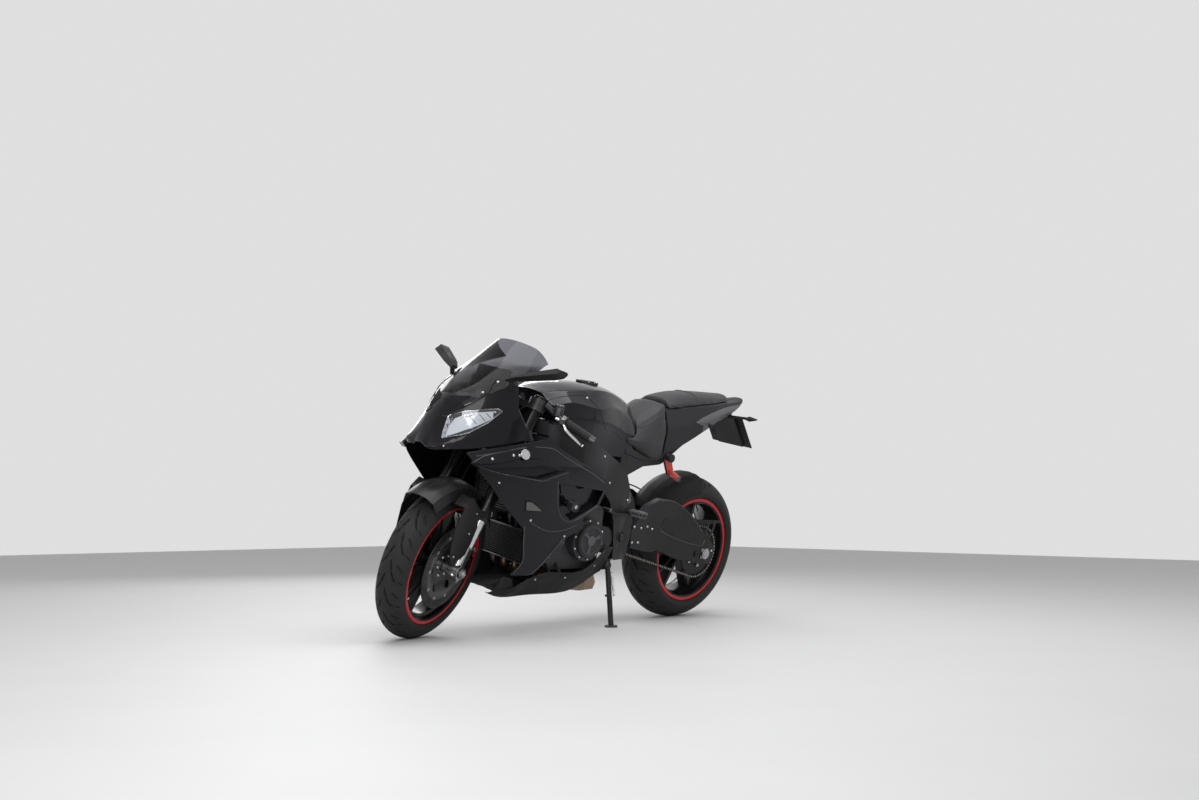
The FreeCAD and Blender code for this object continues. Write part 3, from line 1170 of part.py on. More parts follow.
def make_plate_holder(tail_shell):
    """Arm, blank plate and rear indicators under the tail."""
    arm = side_plate([(-90, 989.5), (-190, 998), (-200, 925), (-186, 905), (-160, 918), (-130, 950)], -26, 26)
    back = side_plate([(-165, 918), (-158, 915), (-261, 790), (-268, 793)], -70, 70)
    plate = side_plate([(-168, 921), (-170, 919), (-273, 793), (-271, 792)], -115, 115)
    stalk = rod(Vector(-154, 20, 922), Vector(-150, 150, 930), 6)
    lamp = Part.makeLoft([outline([Vector(x + dx * s, y, z + dz * s) for dx, dz in
                                   ((18, 0), (6, 12), (-22, 6), (-26, 0), (-22, -6), (6, -12))])
                          for x, y, z, s in ((-152, 146, 929, 0.5), (-150, 170, 931, 1.0),
                                             (-148, 205, 934, 0.35))], True, True)
    side = joined(stalk, lamp)
    whole = joined(arm, back, plate, side, mirrored(side))
    node("plate_holder", cut_to(whole, tail_shell))


def make_footrests(frame, subframe):
    """Rider's heel plates and pegs, and the folding passenger pegs on their brackets."""
    heel = side_plate([(560, 600), (596, 560), (600, 500), (530, 486), (505, 520), (530, 570)], 152.5, 157)
    boss = rod(Vector(560, 148, 560), Vector(560, 160, 560), 14)
    peg = rod(Vector(545, 157, 512), Vector(535, 245, 514), 13)
    pedal = bent_tube([Vector(545, 172, 500), Vector(640, 176, 505), Vector(716, 178, 530)], 6, 40)
    toe = rod(Vector(716, 176, 530), Vector(716, 210, 530), 8)
    rider = joined(heel, boss, peg, pedal, toe, rod(Vector(545, 156, 500), Vector(545, 176, 500), 9))
    hanger = side_plate([(310, 752), (288, 752), (252, 680), (262, 655), (285, 658), (318, 715)], 104, 112)
    boss = rod(Vector(300, 94, 745), Vector(300, 112, 745), 11)
    passenger = rod(Vector(266, 112, 668), Vector(300, 190, 655), 12)
    knob = rod(Vector(300, 112, 735), Vector(300, 124, 735), 16)
    passenger = joined(hanger, boss, passenger, knob)
    side = Part.makeCompound([rider, passenger])
    node("footrests", cut_to(paired(side), frame, subframe))


def make_exhaust(block):
    """Collector box under the engine and the short silencer on the right."""
    collector = side_plate(COLLECTOR, -S.collector_half, S.collector_half)
    link = bent_tube([Vector(650, -60, 215), Vector(560, -140, 225), Vector(440, -206, 300)], 24, 50)
    start, finish = Vector(460, -200, 288), Vector(205, -222, 428)
    along = (finish - start).normalize()
    silencer = rod(start, finish, 48)
    tip = rod(finish, finish + along * 22, 34)
    mouth = rod(finish - along * 30, finish + along * 30, 26)
    pipes = [bent_tube([Vector(1000, y, 548), Vector(1040, y, 536), Vector(1019, y, 440), Vector(1018, y, 262),
                        Vector(960, y * 0.9, 232), Vector(880, y * 0.8, 236)], S.header_radius, 24)
             for y in (-96, -33, 33, 96)]
    whole = joined(collector, link, silencer, tip, *pipes).cut(mouth)
    node("exhaust", largest(cut_to(whole, block)))


def make_side_stand():
    """Leg, pin and foot pad, standing on the ground."""
    ground = LEAN.inverse()
    down = LEAN.Rotation.multVec(STAND_DOWN)
    reach = -(LEAN.multVec(STAND_PIVOT).z - S.stand_foot_height / 2) / down.z
    end = STAND_PIVOT + STAND_DOWN * reach
    spot = LEAN.multVec(end)
    pad = Part.makeCylinder(S.stand_foot_radius, S.stand_foot_height, Vector(spot.x, spot.y, 0))
    pad.Placement = ground
    boss = rod(STAND_PIVOT - STAND_AXIS * 3, STAND_PIVOT + STAND_AXIS * 12, 15)
    pin = rod(STAND_PIVOT - STAND_AXIS * 24, STAND_PIVOT, S.stand_pin_radius)
    start = STAND_PIVOT + STAND_AXIS * 5
    leg = rod(start, end, S.stand_radius)
    hook = rod(STAND_PIVOT + STAND_DOWN * 120, STAND_PIVOT + STAND_DOWN * 120 + Vector(26, 8, 0), 5)
    node("side_stand", joined(leg, boss, pin, hook, pad))


def make_chassis():
    frame = make_main_frame()
    block = make_engine(frame)
    make_radiators(block)
    make_swingarm()
    make_shock()
    make_rear_axle()
    make_rear_caliper()
    make_hugger()
    make_side_fairings()
    make_belly_pan(block)
    cowl, screen, hollow = make_nose()
    panel = make_instruments()
    make_nose_stay(frame, cowl, screen, panel)
    make_mirrors(cowl, screen, hollow)
    make_tank(frame)
    make_fuel_cap()
    tail_solid, tail_shell, tail_grown = make_tail()
    make_seats(tail_grown, frame)
    subframe = make_subframe(frame, tail_shell)
    make_plate_holder(tail_shell)
    make_footrests(frame, subframe)
    make_exhaust(block)
    make_side_stand()


make_wheels()
make_chain()
make_steered()
make_chassis()
doc.recompute()
for feature in PARTS:
    bad = [state for state in feature.State if state in ("Invalid", "Error")]
    if bad or feature.Shape.isNull() or not feature.Shape.isValid():
        raise ValueError("%s did not build" % feature.Label)
os.makedirs("parts", exist_ok=True)
for feature in PARTS:
    feature.Shape.exportStep("parts/%s.step" % feature.Label)
    box = feature.Shape.BoundBox
    print("%-20s solids %2d  x %7.0f %7.0f  y %7.0f %7.0f  z %7.0f %7.0f" % (feature.Label, len(feature.Shape.Solids), box.XMin, box.XMax, box.YMin, box.YMax, box.ZMin, box.ZMax))
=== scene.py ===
import json
import math

import bmesh
import bpy
from mathutils import Matrix, Vector
from mathutils.bvhtree import BVHTree
from mathutils.geometry import delaunay_2d_cdt


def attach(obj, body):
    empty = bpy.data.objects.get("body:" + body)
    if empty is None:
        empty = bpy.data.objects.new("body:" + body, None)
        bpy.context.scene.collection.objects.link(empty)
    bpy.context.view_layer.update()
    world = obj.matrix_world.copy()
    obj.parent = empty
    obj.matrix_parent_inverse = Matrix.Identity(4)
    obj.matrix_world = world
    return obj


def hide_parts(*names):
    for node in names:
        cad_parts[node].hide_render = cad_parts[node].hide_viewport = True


# A sport motorcycle dressed for its picture. Details are drawn upright and
# straight ahead, in millimetres: x forward from the rear axle, y to the
# rider's left, z up from the ground. LEAN and STEERED then place them.

MM = 0.001
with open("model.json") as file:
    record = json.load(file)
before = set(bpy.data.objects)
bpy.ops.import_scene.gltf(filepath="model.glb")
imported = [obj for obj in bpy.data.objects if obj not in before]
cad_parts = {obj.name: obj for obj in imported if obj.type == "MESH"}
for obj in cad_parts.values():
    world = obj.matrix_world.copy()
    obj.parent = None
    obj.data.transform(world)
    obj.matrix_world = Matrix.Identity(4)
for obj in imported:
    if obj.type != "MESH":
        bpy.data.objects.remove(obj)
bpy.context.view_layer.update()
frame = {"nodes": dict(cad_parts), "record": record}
nodes = frame["nodes"]


def placement(*values):
    place = Matrix([values[0:4], values[4:8], values[8:12], (0, 0, 0, 1)])
    for row in range(3):
        place[row][3] *= MM
    return place


LEAN = placement(0.999989697, -0.00097475, 0.004433419, -695.300201494,
                 0, 0.976672278, 0.214735327, -192.5,
                 -0.004539311, -0.214733115, 0.976662216, 2.380959253)
STEERED = placement(0.944130262, -0.328938269, -0.020436804, -610.307823339,
                    0.314448657, 0.880502005, 0.354736889, -670.946286937,
                    -0.098691892, -0.341344158, 0.934742786, 145.637900063)
FRONT_AXLE, REAR_AXLE = Vector((1423, 0, 300)), Vector((0, 0, 320))
LEFT, RIGHT, UP = Vector((0, 1, 0)), Vector((0, -1, 0)), Vector((0, 0, 1))


# Materials

MAT = {}
SPECULAR, COAT_IOR, ROUGH_VARY = 0.18, 1.32, 0.18


class Nodes:
    """Short names for building a material's nodes. MAT keeps each material by its name."""

    def __init__(self, name):
        self.mat = MAT[name] = bpy.data.materials.new(name)
        self.mat.use_nodes = True
        self.tree = self.mat.node_tree
        self.shader = self.tree.nodes["Principled BSDF"]
        self.coords = self.add("ShaderNodeTexCoord").outputs["Object"]

    def put(self, into, value):
        """A constant on a socket, or a link into it."""
        if isinstance(value, bpy.types.NodeSocket):
            self.tree.links.new(value, into)
        else:
            into.default_value = value

    def feed(self, sockets, node=None):
        node = node or self.shader
        for key, value in sockets.items():
            self.put(node.inputs[key], value)
        return node

    def add(self, kind, sockets=(), **values):
        node = self.tree.nodes.new(kind)
        for key, value in values.items():
            setattr(node, key, value)
        return self.feed(dict(sockets), node)

    def noise(self, scale, detail=4.0, stretch=None):
        source = self.coords
        if stretch:
            source = self.add("ShaderNodeMapping", {"Scale": stretch, "Vector": source}).outputs["Vector"]
        return self.add("ShaderNodeTexNoise", {"Scale": scale, "Detail": detail,
                                               "Vector": source}).outputs["Fac"]

    def cells(self, scale):
        return self.add("ShaderNodeTexVoronoi", {"Scale": scale, "Vector": self.coords},
                        feature="DISTANCE_TO_EDGE").outputs["Distance"]

    def ramp(self, source, low, high, low_at=0.3, high_at=0.7):
        return self.add("ShaderNodeMapRange", {"From Min": low_at, "From Max": high_at, "To Min": low,
                                               "To Max": high, "Value": source}).outputs["Result"]

    def mix(self, factor, first, second):
        node = self.add("ShaderNodeMix", {"Factor": factor}, data_type="RGBA")
        for value, into in zip((first, second), [s for s in node.inputs if s.type == "RGBA"]):
            self.put(into, (*value, 1) if isinstance(value, tuple) else value)
        return [s for s in node.outputs if s.type == "RGBA"][0]

    def bump(self, height, strength, distance=0.0004, below=None):
        sockets = {"Strength": strength, "Distance": distance, "Height": height}
        if below:
            sockets["Normal"] = below
        return self.add("ShaderNodeBump", sockets).outputs["Normal"]

    def edges(self, low=0.52, high=0.6):
        return self.ramp(self.add("ShaderNodeNewGeometry").outputs["Pointiness"], 0.0, 1.0, low, high)


def tuned(colour, by):
    return tuple(min(1.0, c * by) for c in colour)


def surface(name, colour, rough, metal=0.0, vary=0.2, vary_scale=9.0, grain=0.15, grain_scale=900.0, coat=0.0,
            coat_rough=0.03, wear=None, stretch=None, cells=0.0, cell_scale=600.0):
    """A material with colour variation, fine grain, and paler worn edges where asked."""
    n = Nodes(name)
    broad = n.noise(vary_scale, 5.0)
    base = n.mix(broad, tuned(colour, 1 - vary), tuned(colour, 1 + vary))
    if wear:
        base = n.mix(n.edges(), base, wear)
    normal = n.bump(n.noise(grain_scale, 3.0, stretch), grain)
    if cells:
        normal = n.bump(n.ramp(n.cells(cell_scale), 0.0, 1.0, 0.0, 0.12), cells, 0.0006, normal)
    n.feed({"Base Color": base, "Normal": normal, "Metallic": metal, "Specular IOR Level": SPECULAR,
            "Roughness": n.ramp(broad, rough * (1 - ROUGH_VARY), min(1.0, rough * (1 + ROUGH_VARY))),
            "Coat Weight": coat, "Coat IOR": COAT_IOR, "Coat Roughness": coat_rough})


def lacquer(name, colour, sheen_and_flake_tint):
    """Deep lacquer: a dark base with a faint metallic shimmer under a clear coat, and a painted sheen that
    turns the base towards its tint at grazing angles.
    """
    n = Nodes(name)
    # Painted sheen: the base colour goes over to the tint where the surface turns away from the view.
    base = n.mix(n.add("ShaderNodeLayerWeight", {"Blend": 0.35}).outputs["Facing"], colour, sheen_and_flake_tint)
    n.feed({"Base Color": n.mix(n.ramp(n.noise(4200.0, 1.0), 0.0, 0.5, 0.58, 0.8), base, tuned(sheen_and_flake_tint, 2.6)),
            "Roughness": n.ramp(n.noise(5.0, 5.0), 0.272, 0.368),
            "Normal": n.bump(n.noise(260.0, 2.0), 0.02, 0.0003),
            "Metallic": 0.35, "Specular IOR Level": 0.1,
            "Coat Weight": 1.0, "Coat IOR": 1.28, "Coat Roughness": 0.04})


def glass(name, colour, rough, ior=1.49):
    n = Nodes(name)
    broad = n.noise(14.0, 3.0)
    n.feed({"Base Color": n.mix(broad, tuned(colour, 0.92), colour),
            "Roughness": n.ramp(broad, rough * 0.7, rough * 1.4), "Transmission Weight": 1.0, "IOR": ior})


def turned_steel(name, colour, rough):
    """Ground disc steel with fine rings about the object's own y axis."""
    n = Nodes(name)
    wave = n.add("ShaderNodeTexWave", {"Scale": 420.0, "Distortion": 1.2, "Detail": 2.0, "Vector": n.coords},
                 wave_type="RINGS", rings_direction="Y").outputs["Fac"]
    n.feed({"Base Color": n.mix(n.noise(40.0, 4.0), tuned(colour, 0.75), tuned(colour, 1.1)),
            "Roughness": n.ramp(wave, rough * 0.8, rough * 1.3, 0.0, 1.0),
            "Normal": n.bump(wave, 0.12, 0.0002), "Metallic": 1.0})


def seat_leather(name, colour):
    n = Nodes(name)
    broad = n.noise(12.0, 5.0)
    grain = n.ramp(n.cells(420.0), 0.0, 1.0, 0.0, 0.1)
    worn = n.mix(n.edges(0.505, 0.56), n.mix(broad, tuned(colour, 0.8), tuned(colour, 1.15)),
                 tuned(colour, 1.6))
    n.feed({"Base Color": n.mix(grain, tuned(colour, 0.6), worn), "Roughness": n.ramp(broad, 0.52, 0.66),
            "Normal": n.bump(grain, 0.28, 0.0004, n.bump(n.noise(70.0, 3.0), 0.12, 0.0006)),
            "Sheen Weight": 0.08, "Sheen Roughness": 0.5})


def rubber(name, colour, dusty):
    n = Nodes(name)
    broad = n.noise(7.0, 6.0)
    n.feed({"Base Color": n.mix(n.ramp(broad, 0.0, 0.7, 0.45, 0.75), colour, dusty),
            "Roughness": n.ramp(broad, 0.6, 0.78), "Normal": n.bump(n.noise(1500.0, 2.0), 0.22, 0.0003),
            "Specular IOR Level": 0.35})


def heated_steel(name):
    """Exhaust steel with straw and blue heat tints in soft bands."""
    n = Nodes(name)
    bands = n.noise(11.0, 3.0, (1.0, 0.3, 1.0))
    straw = n.mix(n.ramp(bands, 0.0, 1.0, 0.4, 0.55), (0.30, 0.28, 0.26), (0.34, 0.24, 0.15))
    n.feed({"Base Color": n.mix(n.ramp(bands, 0.0, 0.8, 0.55, 0.7), straw, (0.16, 0.16, 0.22)),
            "Roughness": n.ramp(n.noise(60.0, 4.0), 0.26, 0.42), "Normal": n.bump(n.noise(500.0, 2.0), 0.1),
            "Metallic": 1.0})


surface("frame_black", (0.010, 0.010, 0.011), 0.42, 0.0, grain=0.12, grain_scale=1400.0, coat=0.25,
        coat_rough=0.25, wear=(0.06, 0.06, 0.065))
# The second colour is the tint of the painted sheen and of the metallic flake.
lacquer("gloss_black", (0.0025, 0.0025, 0.0035), (0.009, 0.008, 0.015))
surface("moulded_black", (0.013, 0.013, 0.014), 0.56, cells=0.22, cell_scale=900.0, wear=(0.05, 0.05, 0.052))
seat_leather("seat_cover", (0.022, 0.022, 0.025))
rubber("tyre_rubber", (0.013, 0.013, 0.013), (0.028, 0.027, 0.026))
rubber("grip_rubber", (0.016, 0.016, 0.016), (0.03, 0.03, 0.03))
surface("rim_black", (0.012, 0.012, 0.013), 0.33, 0.4, coat=0.5, coat_rough=0.12, wear=(0.07, 0.07, 0.07))
surface("steel", (0.42, 0.42, 0.43), 0.32, 1.0, vary=0.25, vary_scale=60.0, grain=0.1)
surface("alloy_dark", (0.035, 0.035, 0.038), 0.38, 0.7, grain=0.12, wear=(0.16, 0.16, 0.165))
surface("fork_black", (0.014, 0.014, 0.015), 0.3, 0.6, coat=0.3, coat_rough=0.1)
surface("fork_silver", (0.60, 0.60, 0.61), 0.22, 1.0, vary=0.08, grain=0.05, stretch=(1.0, 1.0, 0.1))
surface("red_metal", (0.52, 0.012, 0.014), 0.34, 0.1, coat=0.6, coat_rough=0.08, wear=(0.6, 0.12, 0.1))
surface("cast_engine", (0.045, 0.045, 0.048), 0.55, 0.45, grain=0.5, grain_scale=700.0,
        wear=(0.12, 0.12, 0.125))
surface("radiator_black", (0.02, 0.02, 0.02), 0.5, 0.4, grain=0.3)
glass("smoked_screen", (0.045, 0.045, 0.052), 0.08, 1.22)
glass("clear_lens", (0.93, 0.95, 0.98), 0.02)
surface("lamp_inner", (0.55, 0.56, 0.58), 0.16, 1.0, vary=0.1, grain=0.05)
surface("red_lens", (0.22, 0.006, 0.008), 0.12, coat=1.0, cells=0.5, cell_scale=260.0)
heated_steel("exhaust_steel")
surface("stand_metal", (0.028, 0.028, 0.03), 0.4, 0.3, grain=0.15, wear=(0.2, 0.2, 0.2))
turned_steel("disc_steel", (0.15, 0.145, 0.142), 0.36)
surface("ring_red", (0.62, 0.012, 0.018), 0.35, coat=0.7, coat_rough=0.08)
surface("zinc", (0.55, 0.55, 0.56), 0.28, 1.0, vary_scale=120.0, grain=0.08)
surface("black_steel", (0.03, 0.03, 0.032), 0.35, 0.8, vary_scale=120.0, grain=0.08)
# Near-black: the colour of seals, rims and seams, and also painted shade on the tyre grooves and the nose
# ducts.
surface("dark_joint_and_painted_shade", (0.006, 0.006, 0.007), 0.8, grain=0.3)
surface("brass_chain", (0.08, 0.07, 0.055), 0.42, 1.0, vary=0.35, vary_scale=160.0, grain=0.2)
surface("lamp_pale", (0.80, 0.82, 0.84), 0.3, 0.1, vary=0.06, grain=0.05)
surface("lens_dark", (0.012, 0.012, 0.014), 0.1, coat=0.8, grain=0.03)
surface("mirror_silver", (0.74, 0.75, 0.77), 0.05, 1.0, vary=0.03, grain=0.01)
surface("indicator", (0.11, 0.10, 0.095), 0.14, coat=0.7, cells=0.5, cell_scale=240.0)
surface("satin_alloy", (0.40, 0.40, 0.41), 0.42, 1.0, vary_scale=60.0, grain=0.15)
surface("tail_grey", (0.16, 0.16, 0.17), 0.42, 0.5, vary=0.08, grain=0.12, grain_scale=1600.0)
surface("tail_dark", (0.034, 0.034, 0.037), 0.5, 0.2, vary=0.1, grain=0.15, grain_scale=1400.0)
surface("guard_satin", (0.012, 0.012, 0.0135), 0.36, grain=0.1, coat=0.3, coat_rough=0.3)
surface("plate_white", (0.70, 0.70, 0.69), 0.45, vary=0.04, grain=0.08)
# Painted highlight: a paler gloss for thin lines laid along edges and creases, standing in for their bright
# reflections.
surface("painted_edge_highlight", (0.05, 0.05, 0.058), 0.16, coat=1.0, coat_rough=0.05, grain=0.03)
surface("piping", (0.06, 0.06, 0.062), 0.6, grain=0.2)


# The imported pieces

SLOT_OF = {row["node"]: row["material_slot"] for row in frame["record"]["subparts"]}
BETTER = {"tail_fairing": "tail_dark", "front_mudguard": "guard_satin", "front_discs": "disc_steel",
          "rear_disc": "disc_steel", "rear_sprocket": "black_steel"}
CAD_EDGE = 0.0007


def in_scene(name, data):
    obj = bpy.data.objects.new(name, data)
    bpy.context.scene.collection.objects.link(obj)
    return obj


def wear_material(obj, mat):
    obj.data.materials.clear()
    obj.data.materials.append(MAT[mat])


def bevel_edges(obj, width, angle):
    mod = obj.modifiers.new("round", "BEVEL")
    mod.width = width
    mod.segments = 2
    mod.limit_method = "ANGLE"
    mod.angle_limit = math.radians(angle)
    mod.harden_normals = True


def soften_cad(obj):
    """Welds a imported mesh, rounds its sharp edges and shades it smoothly between them."""
    if "custom_normal" in obj.data.attributes:
        obj.data.attributes.remove(obj.data.attributes["custom_normal"])
    obj.data.polygons.foreach_set("use_smooth", [True] * len(obj.data.polygons))
    weld = obj.modifiers.new("weld", "WELD")
    weld.merge_threshold = 0.00002
    bevel_edges(obj, CAD_EDGE, 32)


for name, obj in nodes.items():
    wear_material(obj, BETTER.get(name, SLOT_OF[name]))
    soften_cad(obj)


# Mesh pieces

STEERED_BODIES = ("steering", "front_wheel")


def join(parts):
    """Several lists of vertices and faces as one."""
    verts, faces = [], []
    for part_verts, part_faces in parts:
        start = len(verts)
        verts += list(part_verts)
        faces += [tuple(i + start for i in face) for face in part_faces]
    return verts, faces


def make(name, parts, mat, body="chassis", origin=(0, 0, 0), replaced=(), angle=35, bevel=0.0,
         own_frame=False):
    """One object from lists of vertices and faces in millimetres, drawn about an origin."""
    to_world = (STEERED if body in STEERED_BODIES else LEAN) @ Matrix.Translation(Vector(origin) * MM)
    verts, faces = join(parts)
    verts = [Vector(v) * MM if own_frame else to_world @ (Vector(v) * MM) for v in verts]
    mesh = bpy.data.meshes.new(name)
    mesh.from_pydata([tuple(v) for v in verts], [], faces)
    mesh.update()
    obj = in_scene(name, mesh)
    if own_frame:
        obj.matrix_world = to_world
    bm = bmesh.new()
    bm.from_mesh(mesh)
    bmesh.ops.recalc_face_normals(bm, faces=bm.faces)
    limit = math.radians(angle)
    for face in bm.faces:
        face.smooth = True
    for edge in bm.edges:
        if len(edge.link_faces) == 2 and edge.calc_face_angle(0) > limit:
            edge.smooth = False
    bm.to_mesh(mesh)
    bm.free()
    mesh.materials.append(MAT[mat])
    if bevel:
        bevel_edges(obj, bevel * MM, 35)
    bpy.context.view_layer.update()
    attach(obj, body)
    if replaced:
        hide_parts(*replaced)
    return obj


def basis(direction):
    z = Vector(direction).normalized()
    helper = Vector((0, 0, 1)) if abs(z.z) < 0.9 else Vector((1, 0, 0))
    x = helper.cross(z).normalized()
    return x, z.cross(x), z


def around(count, first=0.0):
    """Evenly spaced angles."""
    return [2 * math.pi / count * k + first for k in range(count)]


def turned(profile, centre, direction, steps=32, closed=False):
    """Surface of revolution: profile of (along, radius) about a line through the centre."""
    x, y, z = basis(direction)
    centre = Vector(centre)
    verts, faces = [], []
    count = len(profile)
    for step in range(steps):
        angle = 2 * math.pi * step / steps
        out = x * math.cos(angle) + y * math.sin(angle)
        for along, radius in profile:
            verts.append(centre + z * along + out * radius)
    last = count if closed else count - 1
    for step in range(steps):
        a, b = step * count, (step + 1) % steps * count
        for i in range(last):
            j = (i + 1) % count
            faces.append((a + i, a + j, b + j, b + i))
    if not closed:
        for i, flip in ((0, False), (count - 1, True)):
            if profile[i][1] > 1e-6:
                ring = [step * count + i for step in range(steps)]
                faces.append(tuple(ring[::-1] if flip else ring))
    return verts, faces


def tube(points, radius, steps=12, closed=False, smooth=6):
    """Round tube along a smooth line through the points."""
    line = spline(points, smooth, closed) if smooth else [Vector(p) for p in points]
    count = len(line)
    verts, faces = [], []
    x = None
    for i, p in enumerate(line):
        if closed:
            ahead = (line[(i + 1) % count] - line[i - 1]).normalized()
        else:
            ahead = (line[min(i + 1, count - 1)] - line[max(i - 1, 0)]).normalized()
        x = basis(ahead)[0] if x is None else (x - ahead * x.dot(ahead)).normalized()
        y = ahead.cross(x)
        size = radius[i * (len(radius) - 1) // max(1, count - 1)] if isinstance(radius,
                                                                                (list, tuple)) else radius
        for step in range(steps):
            angle = 2 * math.pi * step / steps
            verts.append(p + (x * math.cos(angle) + y * math.sin(angle)) * size)
    for i in range(count if closed else count - 1):
        a, b = i * steps, (i + 1) % count * steps
        for step in range(steps):
            nxt = (step + 1) % steps
            faces.append((a + step, a + nxt, b + nxt, b + step))
    if not closed:
        faces.append(tuple(range(steps))[::-1])
        faces.append(tuple((count - 1) * steps + step for step in range(steps)))
    return verts, faces


def spline(points, per=6, closed=False):
    """Catmull-Rom line through the points."""
    pts = [Vector(p) for p in points]
    count = len(pts)
    line = []
    for i in range(count if closed else count - 1):
        p0 = pts[i - 1] if closed or i else pts[0]
        p1, p2 = pts[i], pts[(i + 1) % count]
        p3 = pts[(i + 2) % count] if closed else pts[min(i + 2, count - 1)]
        for step in range(per):
            t = step / per
            line.append(0.5 * ((2 * p1) + (p2 - p0) * t + (2 * p0 - 5 * p1 + 4 * p2 - p3) * t ** 2 +
                               (3 * p1 - p0 - 3 * p2 + p3) * t ** 3))
    if not closed:
        line.append(pts[-1])
    return line


def spot(axis, a, b, c):
    """A point from two drawn coordinates and the one along an axis."""
    return {"y": (a, c, b), "z": (a, b, c), "x": (c, a, b)}[axis]


def prism(points, low, high, axis="y"):
    """Flat outline given a thickness along one axis."""
    count = len(points)
    verts = [spot(axis, a, b, c) for c in (low, high) for a, b in points]
    faces = [tuple(range(count)), tuple(range(2 * count - 1, count - 1, -1))]
    faces += [(i, i + count, (i + 1) % count + count, (i + 1) % count) for i in range(count)]
    return verts, faces


def bolt(centre, direction, size=4.0, head=4.0):
    """Socket-head screw with a six-sided hole."""
    profile = [(0, size * 1.02), (head * 0.75, size), (head, size * 0.84), (head, size * 0.5),
               (head * 0.35, size * 0.48), (head * 0.35, 0)]
    return turned(profile, centre, direction, 12)


def dome(centre, direction, size=5.0, head=2.4):
    """Button-head screw."""
    profile = [(0, size), (head * 0.45, size * 0.93), (head * 0.85, size * 0.68), (head, size * 0.42),
               (head * 0.45, size * 0.38), (head * 0.45, 0)]
    return turned(profile, centre, direction, 12)


# Wheels

RIM_LIP, RIM_SEAT = 232, 217.3
STEPS_A_REPEAT = 20
# How far the painted groove shade sits above the tread.
SHADE_LIFT = 0.04


def arc_points(first, through, last, count):
    """Points on the circle through three (y, radius) points."""
    (ax, ay), (bx, by), (cx, cy) = first, through, last
    a, b, c = ax ** 2 + ay ** 2, bx ** 2 + by ** 2, cx ** 2 + cy ** 2
    d = 2 * (ax * (by - cy) + bx * (cy - ay) + cx * (ay - by))
    ux = (a * (by - cy) + b * (cy - ay) + c * (ay - by)) / d
    uy = (a * (cx - bx) + b * (ax - cx) + c * (bx - ax)) / d
    radius = math.hypot(ax - ux, ay - uy)
    start, middle, end = (math.atan2(y - uy, x - ux) for x, y in (first, through, last))
    while middle < start:
        middle += 2 * math.pi
    while end < middle:
        end += 2 * math.pi
    if end - start > 2 * math.pi:
        start, end = end - 2 * math.pi, start
    turn = [(ux + radius * math.cos(start + (end - start) * i / count),
             uy + radius * math.sin(start + (end - start) * i / count)) for i in range(count + 1)]
    return turn if math.dist(turn[0], first) < 1 else turn[::-1]


def groove_depth(along, across, pitch, grooves):
    """How deep the tread is cut at a place, from line segments repeated round the tyre."""
    deepest = 0.0
    for (x0, y0), (x1, y1), width, depth in grooves:
        for shift in (-pitch, 0, pitch):
            dx, dy = x1 - x0, y1 - y0
            t = min(1, max(0, ((along - shift - x0) * dx + (across - y0) * dy) / (dx * dx + dy * dy)))
            gap = math.hypot(along - shift - x0 - dx * t, across - y0 - dy * t)
            taper = width * (0.55 + 0.45 * math.sin(math.pi * t * 0.9 + 0.15))
            if gap < taper:
                deepest = max(deepest, depth * min(1.0, (taper - gap) / 1.1))
    return deepest


def tyre(end, radius, width, drop, repeats, rim_half, axle, grooves):
    """Road tyre with cut grooves, shoulder edges and moulded rings on its sidewalls."""
    shoulder, lip = radius - drop, RIM_LIP
    half = width / 2
    tread = arc_points((half, shoulder), (0, radius - 0.03), (-half, shoulder), 64)
    wall = arc_points((rim_half + 0.5, lip), (half - 0.5, (shoulder + lip) / 2 + 4), (half, shoulder), 14)
    left = [(rim_half - 8.4, RIM_SEAT), (rim_half - 4.4, lip)] + wall[:-1]
    profile = left + tread + [(-y, r) for y, r in left[::-1]]
    first, last = len(left), len(left) + len(tread) - 1
    steps = STEPS_A_REPEAT * repeats
    pitch = 2 * math.pi * radius / repeats
    grooves = grooves + [((x0 + pitch / 2, -y0), (x1 + pitch / 2, -y1), w, d)
                         for (x0, y0), (x1, y1), w, d in grooves]
    cy = radius - (drop ** 2 + half ** 2) / (2 * drop)
    verts, faces = [], []
    for step in range(steps):
        angle = 2 * math.pi * step / steps
        along = (step % STEPS_A_REPEAT) / STEPS_A_REPEAT * pitch
        for i, (y, r) in enumerate(profile):
            if first <= i <= last:
                arc = math.atan2(y, r - cy) * (radius - cy)
                cut = groove_depth(along, arc, pitch, grooves)
                scale = 1 - cut / math.hypot(y, r - cy)
                y, r = y * scale, cy + (r - cy) * scale
            verts.append((r * math.sin(angle), y, r * math.cos(angle)))
    count = len(profile)
    for step in range(steps):
        a, b = step * count, (step + 1) % steps * count
        for i in range(count - 1):
            faces.append((a + i, b + i, b + i + 1, a + i + 1))
    parts = [(verts, faces)]
    for side in (1, -1):
        for y, r, size in ((rim_half + 3.2, lip + 7, 1.1), (half - 4.5, (shoulder + lip) / 2 + 12, 0.8)):
            parts.append(turned([(side * y + size * math.cos(a), r + size * math.sin(a))
                                 for a in around(6)], (0, 0, 0), LEFT, 120, True))
    make(end + "_tyre_treaded", parts, "tyre_rubber", end + "_wheel", axle, (end + "_tyre",),
         28)


